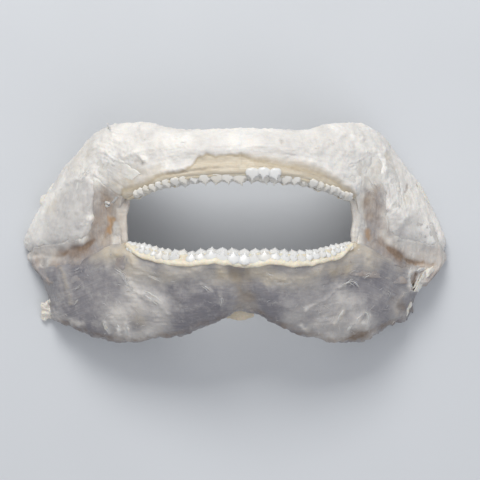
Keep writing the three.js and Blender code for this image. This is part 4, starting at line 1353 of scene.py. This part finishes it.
# Bundles of threads: a path of x, y points, how many threads, their spread and their radius.
THREADS = {
    "left": [
        ([(-64.3, -17.5), (-60, -20.3), (-58.1, -22)], 6, 0.9, FINE),
        ([(-60.1, -20.2), (-56.8, -24), (-55.2, -27.1)], 8, 0.9, FINE),
        ([(-57, -25), (-53.5, -28.6), (-51.2, -30.1)], 6, 0.8, FINE),
        ([(-57.7, -29.2), (-54.5, -28.8), (-52.1, -28)], 4, 0.3, FINE),
        ([(-60, -20.5), (-57.5, -23.5), (-56.5, -26), (-53, -28.6)], 2, 0.5, 0.3),
        ([(-45.2, -21.6), (-41.5, -23), (-38.2, -24.7)], 3, 0.4, FINE),
        ([(-17.7, -25.7), (-14.6, -27.2), (-11.8, -29.4)], 3, 0.4, FINE),
        ([(-85.6, -19.4), (-83.6, -18.6), (-81, -16.6)], 2, 0.8, FINE),
        ([(-86, -29), (-83.6, -27.9), (-80.5, -26)], 2, 1.0, FINE),
        ([(-85.2, -37), (-83, -35.4), (-81.2, -33.4)], 2, 0.8, FINE),
        ([(-8.4, -31), (-7.4, -34), (-7.8, -37.5)], 3, 0.6, FINE),
        ([(-80, 28.5), (-77, 32), (-74, 33)], 4, 0.8, FINE),
        ([(-69, -46), (-67.5, -48.6), (-66, -51.3)], 2, 0.4, 0.55),
        ([(-57.4, -46.6), (-56.2, -49.5), (-56.4, -52.7)], 2, 0.4, 0.55),
        ([(-61.5, -47.6), (-60.4, -50), (-60.8, -52)], 1, 0.3, 0.5),
        ([(-48, -30), (-43.5, -32.5), (-39, -36)], 2, 0.8, 0.45),
        ([(-67, 15.2), (-66.1, 16.1), (-65, 15.6), (-65.1, 14.5), (-66.2, 14.2), (-67, 15)], 1, 0.05, 1.4),
        ([(-64.6, 15.8), (-62.8, 17.4), (-61.2, 19.6)], 2, 0.3, 0.6),
        ([(-64.6, 53.6), (-65.8, 55.9), (-66.8, 57.6)], 2, 0.15, 0.6),
    ],
    "right": [
        ([(54.5, -27), (57.6, -25.6), (59.6, -25), (63.2, -26.8)], 6, 0.35, FINE),
        ([(54.8, -26.8), (58.6, -25.2), (61.5, -25.4), (64, -27.4)], 1, 0.1, 0.35),
        ([(62, -25.4), (63.5, -26.8), (64.6, -28)], 2, 0.3, FINE),
        ([(66, -23), (68.3, -22), (70.5, -21)], 3, 0.3, FINE),
        ([(15, -20.2), (17, -21), (19, -21.8)], 3, 0.4, FINE),
        ([(20.5, -25.6), (24, -25.2), (28, -25)], 3, 0.4, FINE),
        ([(79, -29), (81, -31.5), (81.5, -34)], 2, 0.5, FINE),
        ([(70, 28), (71.5, 25), (74, 23.5)], 4, 0.9, FINE),
        ([(67.5, 24), (69, 21.5), (72, 20.5)], 4, 0.8, FINE),
        ([(52.2, -46.9), (53.6, -43.4), (55.8, -40.2)], 2, 0.35, 0.5),
        ([(62.2, -47.9), (64.4, -43.5), (68.1, -41.1), (69.4, -44.3), (68.5, -49.4)], 1, 0.3, 0.45),
        ([(58.5, -50.5), (59.8, -48.6), (60.5, -46.8)], 2, 0.3, 0.45),
        ([(92.6, -18.6), (91.6, -22), (91.8, -26), (93.6, -30)], 2, 0.3, 0.6),
        ([(95.6, -19.6), (99.5, -18.6), (104, -18.4)], 3, 0.5, 0.5),
        ([(97.2, -21), (96.8, -24), (95.2, -28), (94, -30)], 2, 0.3, 0.6),
    ],
}
THREAD_SIDES = 7
THREAD_WANDER = 0.09  # from one point of a thread to the next
CORD_SINK = 0.5  # share of its radius that a cord's middle lies in the surface


def thread(side_name, path, spread, radius, rng):
    """One tapered thread that lies on the front, as a closed shell."""
    line = smooth_path(path) + rng.normal(0, spread, 2)
    line += np.cumsum(rng.normal(0, THREAD_WANDER, line.shape), axis=0)
    loose = radius <= FINE
    if loose:
        first = rng.integers(0, len(line) // 3 + 1)
        line = line[first : len(line) - rng.integers(0, len(line) // 3 + 1)]
    corner, _, stretched = front_maps(side_name)
    height = read_map(stretched, corner, line[:, 0], line[:, 1])
    radius = radius * rng.uniform(0.7, 1.4)
    clear = 0.1 + 0.2 * rng.random() if loose else -CORD_SINK * radius
    spine = np.column_stack([line, height + clear])
    way = unit(np.gradient(spine, axis=0))
    sideways = unit(np.cross(way, [0, 0, 1.0]))
    upwards = np.cross(sideways, way)
    turns = np.linspace(0, 2 * math.pi, THREAD_SIDES, endpoint=False)
    cos, sin = np.cos(turns)[None, :, None], np.sin(turns)[None, :, None]
    ring = sideways[:, None] * cos + upwards[:, None] * sin
    taper = np.sin(np.linspace(0.15, math.pi - 0.15, len(spine))) ** 0.6
    uneven = 1 + 0.45 * fractal(spine, 1.6, 125)
    flat, faces, _ = ring_mesh(spine[:, None] + ring * (radius * taper * uneven)[:, None, None])
    return flat, faces, {"dark": 0.2 if loose else 0.9, "along": flat[:, 1], "around": flat[:, 0]}


# Areas strewn with short fibres: lowest and highest distance in x from the middle, lowest and highest y, the
# number of fibres, and the way they lie on the left side (degrees from +X).
STRAYS = [
    ((70, 98, 10, 40), 26, 50),
    ((20, 70, 38, 53), 30, 8),
    ((10, 90, -48, -18), 24, -25),
    ((40, 70, -52, -38), 26, 60),
]
STRAY_LENGTH = 3.2
STRAY_TURN = 28  # how far they lie from that way (degrees)
STRAY_BEND = 0.35
STRAY_RADIUS = 0.06
LOWEST_STRAY = 5.0  # no fibre hangs below this height


def stray_paths(side_name, rng):
    """Paths of short fibres strewn over one side."""
    sign = SIDES[side_name]["sign"]
    corner, ground, _ = front_maps(side_name)
    for (near, far, low, high), count, lie in STRAYS:
        for _ in range(count):
            x, y = sign * rng.uniform(near, far), rng.uniform(low, high)
            turn = math.radians(-sign * (lie + rng.normal(0, STRAY_TURN)))
            reach = STRAY_LENGTH * rng.uniform(0.3, 0.8)
            step = np.array([math.cos(turn), math.sin(turn)]) * reach
            bend = rng.normal(0, STRAY_BEND, 2)
            path = np.array([[x, y] - step, [x, y] + bend, [x, y] + step])
            if read_map(ground, corner, path[:, 0], path[:, 1]).min() > LOWEST_STRAY:
                yield path


def add_threads(side_name, material):
    """Loose white fibres and cords of torn ligament that lie on the front."""
    rng = np.random.default_rng(121 if side_name == "left" else 122)
    shells = [
        thread(side_name, path, spread, radius, rng)
        for path, count, spread, radius in THREADS[side_name]
        for _ in range(count)
    ]
    shells += [thread(side_name, path, 0.0, STRAY_RADIUS, rng) for path in stray_paths(side_name, rng)]
    piece = new_object(f"loose_fibres_{side_name}", *joined(shells), material)
    return add_piece(piece, "dried_skin")


# ---------------------------------------------------------------------------------------------
# Floor, light and camera
# ---------------------------------------------------------------------------------------------

# Places and sizes of the stage are in metres, and the camera's lens and sensor in millimetres.
CAMERA_PLACE = (0.0024, -0.00335, 1.04)
CAMERA_LENS = 144.2
CAMERA_SENSOR = 36
FAR_CLIP = 20
LOOKED_AT = (0, 0, 0.04)  # the middle of the jaws
ROOM_COLOUR = "#F4F5F8"
# Soft lights: name, place, side, power over that of the main light, and colour.
LIGHTS = [
    ("main_light", (-0.2, 0.95, 1.0), 0.6, 1, "#FFFEFB"),
    ("fill_light", (0.6, -0.5, 1.1), 0.9, 0.2, "#F4F7FF"),
]


def floor_material(paint):
    """Matt paint, rolled on.

    It gives the eye an even ground with hardly a shine, so that only the shadow shows on it."""
    darker = tuple(0.97 * c for c in paint[:3]) + (1.0,)
    patterns, rough = {"mottle": (120, 2, 0.55)}, ("mottle", 0.7, 0.8)
    coats = [(None, "mottle", 0.3, 0.7, 1.0, darker)]
    return new_surface("matt_painted_floor", {}, patterns, paint, coats, rough, [])


def add_floor(size, floor_colour):
    half = size / 2
    mesh = bpy.data.meshes.new("floor")
    corners = [(-half, -half, 0), (half, -half, 0), (half, half, 0), (-half, half, 0)]
    mesh.from_pydata(corners, [], [(0, 1, 2, 3)])
    mesh.materials.append(floor_material(floor_colour))
    floor = bpy.data.objects.new("floor", mesh)
    bpy.context.scene.collection.objects.link(floor)


def add_light(name, place, size, power, tint):
    """A square soft light that points at the middle of the jaws."""
    lamp = bpy.data.lights.new(name, "AREA")
    lamp.size = size
    lamp.energy = power
    lamp.color = colour(tint)[:3]
    light = bpy.data.objects.new(name, lamp)
    light.location = place
    way = Vector(LOOKED_AT) - Vector(place)
    light.rotation_euler = way.to_track_quat("-Z", "Y").to_euler()
    bpy.context.scene.collection.objects.link(light)


def add_camera():
    """A camera that looks straight down."""
    lens = bpy.data.cameras.new("camera")
    lens.sensor_width = CAMERA_SENSOR
    lens.lens = CAMERA_LENS
    lens.clip_end = FAR_CLIP
    camera = bpy.data.objects.new("camera", lens)
    camera.location = CAMERA_PLACE
    bpy.context.scene.collection.objects.link(camera)
    bpy.context.scene.camera = camera


def plain_display():
    """Shows colours as they are, without a film curve."""
    bpy.context.scene.view_settings.view_transform = "Standard"


def add_world(strength):
    world = bpy.data.worlds.new("soft_room")
    world.use_nodes = True
    background = world.node_tree.nodes["Background"]
    background.inputs["Color"].default_value = colour(ROOM_COLOUR)
    background.inputs["Strength"].default_value = strength
    bpy.context.scene.world = world


# ---------------------------------------------------------------------------------------------
# Add-on
# ---------------------------------------------------------------------------------------------


def colour_property(name, description, hex_value):
    return FloatVectorProperty(
        name=name,
        description=description,
        default=colour(hex_value),
        size=4,
        subtype="COLOR",
        min=0,
        max=1,
    )


class JawSizes(bpy.types.PropertyGroup):
    """Sizes that a user would change."""

    tooth_width: FloatProperty(
        name="Tooth width", description="Width of the teeth over their usual one", default=1, subtype="FACTOR"
    )
    floor_size: FloatProperty(
        name="Floor size", description="Side of the square floor", default=6.0, unit="LENGTH"
    )
    main_power: FloatProperty(
        name="Main light", description="Power of the main light", default=12.0, unit="POWER"
    )
    room_light: FloatProperty(
        name="Room light", description="Strength of the light all round", default=0.6, subtype="FACTOR"
    )


class JawColours(bpy.types.PropertyGroup):
    """Colours that a user would change."""

    upper_bare: colour_property("Upper cartilage", "Bare cartilage of the upper jaw", "#D2CFCB")
    # Grey of thicker cartilage; in the upper jaw's crevice and hollows by the mouth corners it is painted
    # shade.
    upper_deep_and_shade: colour_property("Upper shade", "Thicker parts of the upper cartilage", "#B0ADAC")
    # The lower jaw's greys are partly the cartilage's own and partly painted shade, darker than the upper
    # jaw.
    lower_grey_and_shade: colour_property("Lower cartilage", "Bare cartilage of the lower jaw", "#9A9798")
    lower_deep_and_shade: colour_property("Lower shade", "Thicker parts of the lower cartilage", "#79777D")
    lip: colour_property("Lip", "Cream gum of the lower jaw", "#EDE6D6")
    lip_dark: colour_property("Lip shade", "Its edge and folds", "#CDBEA2")
    coat: colour_property("Coat", "Dried fibrous coat", "#EBE8E3")
    lower_coat: colour_property("Lower coat", "Shreds of coat on the lower jaw", "#CFCBC6")
    gum: colour_property("Gum", "Horn-coloured gum", "#BBAD94")
    gum_light: colour_property("Pale gum", "Cream parts of the gum", "#E0D8C9")
    # Also used as the painted shadow along the crease under each upper jaw's end.
    stain: colour_property("Stain", "Dried blood and glue-like stain in the crevices", "#7D6A57")
    enamel: colour_property("Enamel", "Crowns of the teeth", "#DDDDDC")
    root: colour_property("Roots", "Feet of the teeth", "#DCCBA6")
    skin: colour_property("Skin", "Pale edge of the skin at the mouth's corners", "#E2DED7")
    skin_dark: colour_property("Skin shade", "Thin parts of that skin", "#A79787")
    amber: colour_property("Amber", "Where light comes through that skin", "#B18E69")
    amber_light: colour_property("Pale amber", "Paler streaks of it", "#C9AE8C")
    capsule: colour_property("Capsule", "Capsules of the joints", "#989190")
    # Brown of the capsules' crevices, also used as the painted shadow along the crease under each upper jaw's
    # end.
    capsule_crease_stain_and_shade: colour_property("Capsule shade", "Crevices of the capsules", "#7F6853")
    floor: colour_property("Floor", "Floor", "#CDD0D4")


def picked(context, **names):
    """The user's colours, as plain values under the words that a material knows them by."""
    colours = context.scene.jaw_colours
    return {word: tuple(getattr(colours, name)) for word, name in names.items()}


GUM_COLOURS = {"gum": "gum", "gum_light": "gum_light", "stain": "stain"}  # the same on both jaws


class JAWS_OT_upper_cartilages(bpy.types.Operator):
    """Adds both upper cartilages"""

    bl_idname = "jaws.upper_cartilages"
    bl_label = "Upper cartilages"

    def execute(self, context):
        colours = picked(context, bare="upper_bare", deep="upper_deep_and_shade", coat="coat", **GUM_COLOURS)
        # Thin coat left over pale cartilage: it gives the eye a chalky white, with dull horn below its edge.
        finish = {"roughness": 0.58, "grey_depth": 0.8, "relief": 0.55}
        material = cartilage_material("air_dried_upper_cartilage", colours, **finish)
        for side_name in SIDES:
            add_cartilage("upper", side_name, material)
        return {"FINISHED"}


class JAWS_OT_lower_cartilages(bpy.types.Operator):
    """Adds both lower cartilages"""

    bl_idname = "jaws.lower_cartilages"
    bl_label = "Lower cartilages"

    def execute(self, context):
        colours = picked(context, bare="lower_grey_and_shade", deep="lower_deep_and_shade", coat="lower_coat", **GUM_COLOURS)
        # The coat is gone but for shreds: it gives the eye a smoky grey wax, with a soft shine. Its grey is
        # partly its own and partly painted shade of the plates that face away from the light.
        finish = {"roughness": 0.46, "grey_depth": 0.9, "relief": 0.9}
        material = cartilage_material("air_dried_lower_cartilage", colours, **finish)
        for side_name in SIDES:
            add_cartilage("lower", side_name, material)
        return {"FINISHED"}


class JAWS_OT_gums(bpy.types.Operator):
    """Adds the gums of both jaws"""

    bl_idname = "jaws.gums"
    bl_label = "Gums"

    def execute(self, context):
        c = picked(context, pale="gum_light", horn="gum", lip="lip", fold="lip_dark")
        # Gum dried thin turns to horn; where it is thick, as in the lower lip, it stays an opaque cream.
        upper = skin_material("dried_gum_horn", c["pale"], c["horn"], roughness=0.42)
        lower = skin_material("dried_gum_cream", c["lip"], c["fold"], roughness=0.48)
        for side_name in SIDES:
            add_gum("upper", side_name, upper)
            add_gum("lower", side_name, lower)
        return {"FINISHED"}


class JAWS_OT_teeth(bpy.types.Operator):
    """Adds the teeth of both jaws"""

    bl_idname = "jaws.teeth"
    bl_label = "Teeth"

    def execute(self, context):
        c = picked(context, enamel="enamel", root="root")
        material = enamel_material("shark_enamel", c["enamel"], c["root"])
        for jaw in JAWS:
            add_teeth(jaw, material, context.scene.jaw_sizes.tooth_width)
        return {"FINISHED"}


class JAWS_OT_soft_tissue(bpy.types.Operator):
    """Adds the skin of the mouth's corners, the joint capsules and the web of the chin"""

    bl_idname = "jaws.soft_tissue"
    bl_label = "Skin and capsules"

    def execute(self, context):
        shared = {"deep": "lower_grey_and_shade", "stain": "capsule_crease_stain_and_shade", "gum": "amber", "gum_light": "amber_light"}
        # Skin dried over a hollow: it gives the eye a pale edge, and amber where light comes through.
        colours = picked(context, bare="skin_dark", coat="skin", **shared)
        finish = {"roughness": 0.52, "grey_depth": 0.9, "relief": 0.6}
        skin = cartilage_material("dried_stretched_skin", colours, **finish)
        # Ligament and capsule shrunk on the joint: they give the eye a dull, wrinkled brown-grey.
        colours = picked(context, bare="capsule", coat="lower_coat", **shared)
        finish = {"roughness": 0.55, "grey_depth": 0.9, "relief": 0.8}
        capsule = cartilage_material("dried_joint_capsule", colours, **finish)
        # A web of skin in the notch: it gives the eye one even scrap of horn.
        c = picked(context, pale="gum_light", horn="gum")
        web = skin_material("dried_web", c["pale"], c["horn"], roughness=0.5)
        for side_name in SIDES:
            add_corner(side_name, skin)
            add_capsule(side_name, capsule)
        add_web(web)
        return {"FINISHED"}


class JAWS_OT_shreds(bpy.types.Operator):
    """Adds the torn scraps and the loose fibres"""

    bl_idname = "jaws.shreds"
    bl_label = "Scraps and fibres"

    def execute(self, context):
        c = picked(context, pale="skin", cream="gum_light", grey="lower_coat")
        # Flakes of coat give the eye papery white with cream folds, and loose fibres a silky grey-white.
        torn = skin_material("torn_dried_tissue", c["pale"], c["cream"], roughness=0.6)
        fibre = skin_material("loose_dried_fibre", c["pale"], c["grey"], roughness=0.6)
        for side_name in SIDES:
            add_scraps(side_name, torn)
            add_threads(side_name, fibre)
        return {"FINISHED"}


class JAWS_OT_stage(bpy.types.Operator):
    """Adds the floor, the lights and the camera"""

    bl_idname = "jaws.stage"
    bl_label = "Floor, light and camera"

    def execute(self, context):
        sizes = context.scene.jaw_sizes
        add_floor(sizes.floor_size, picked(context, paint="floor")["paint"])
        add_world(sizes.room_light)
        for name, place, size, share, tint in LIGHTS:
            add_light(name, place, size, sizes.main_power * share, tint)
        add_camera()
        plain_display()
        return {"FINISHED"}


class JAWS_PT_panel(bpy.types.Panel):
    """Lists the pieces of the jaws"""

    bl_idname = "JAWS_PT_panel"
    bl_label = "Dried Shark Jaws"
    bl_space_type = "VIEW_3D"
    bl_region_type = "UI"
    bl_category = "Jaws"

    def draw(self, context):
        for operator in OPERATORS:
            self.layout.operator(operator.bl_idname)


OPERATORS = (
    JAWS_OT_stage,
    JAWS_OT_upper_cartilages,
    JAWS_OT_lower_cartilages,
    JAWS_OT_gums,
    JAWS_OT_teeth,
    JAWS_OT_soft_tissue,
    JAWS_OT_shreds,
)
CLASSES = (JawSizes, JawColours, *OPERATORS, JAWS_PT_panel)


def register():
    for cls in CLASSES:
        bpy.utils.register_class(cls)
    bpy.types.Scene.jaw_sizes = PointerProperty(type=JawSizes)
    bpy.types.Scene.jaw_colours = PointerProperty(type=JawColours)


def unregister():
    del bpy.types.Scene.jaw_colours
    del bpy.types.Scene.jaw_sizes
    for cls in reversed(CLASSES):
        bpy.utils.unregister_class(cls)


def main():
    register()
    for operator in OPERATORS:
        group, name = operator.bl_idname.split(".")
        getattr(getattr(bpy.ops, group), name)()


if __name__ == "__main__":
    main()
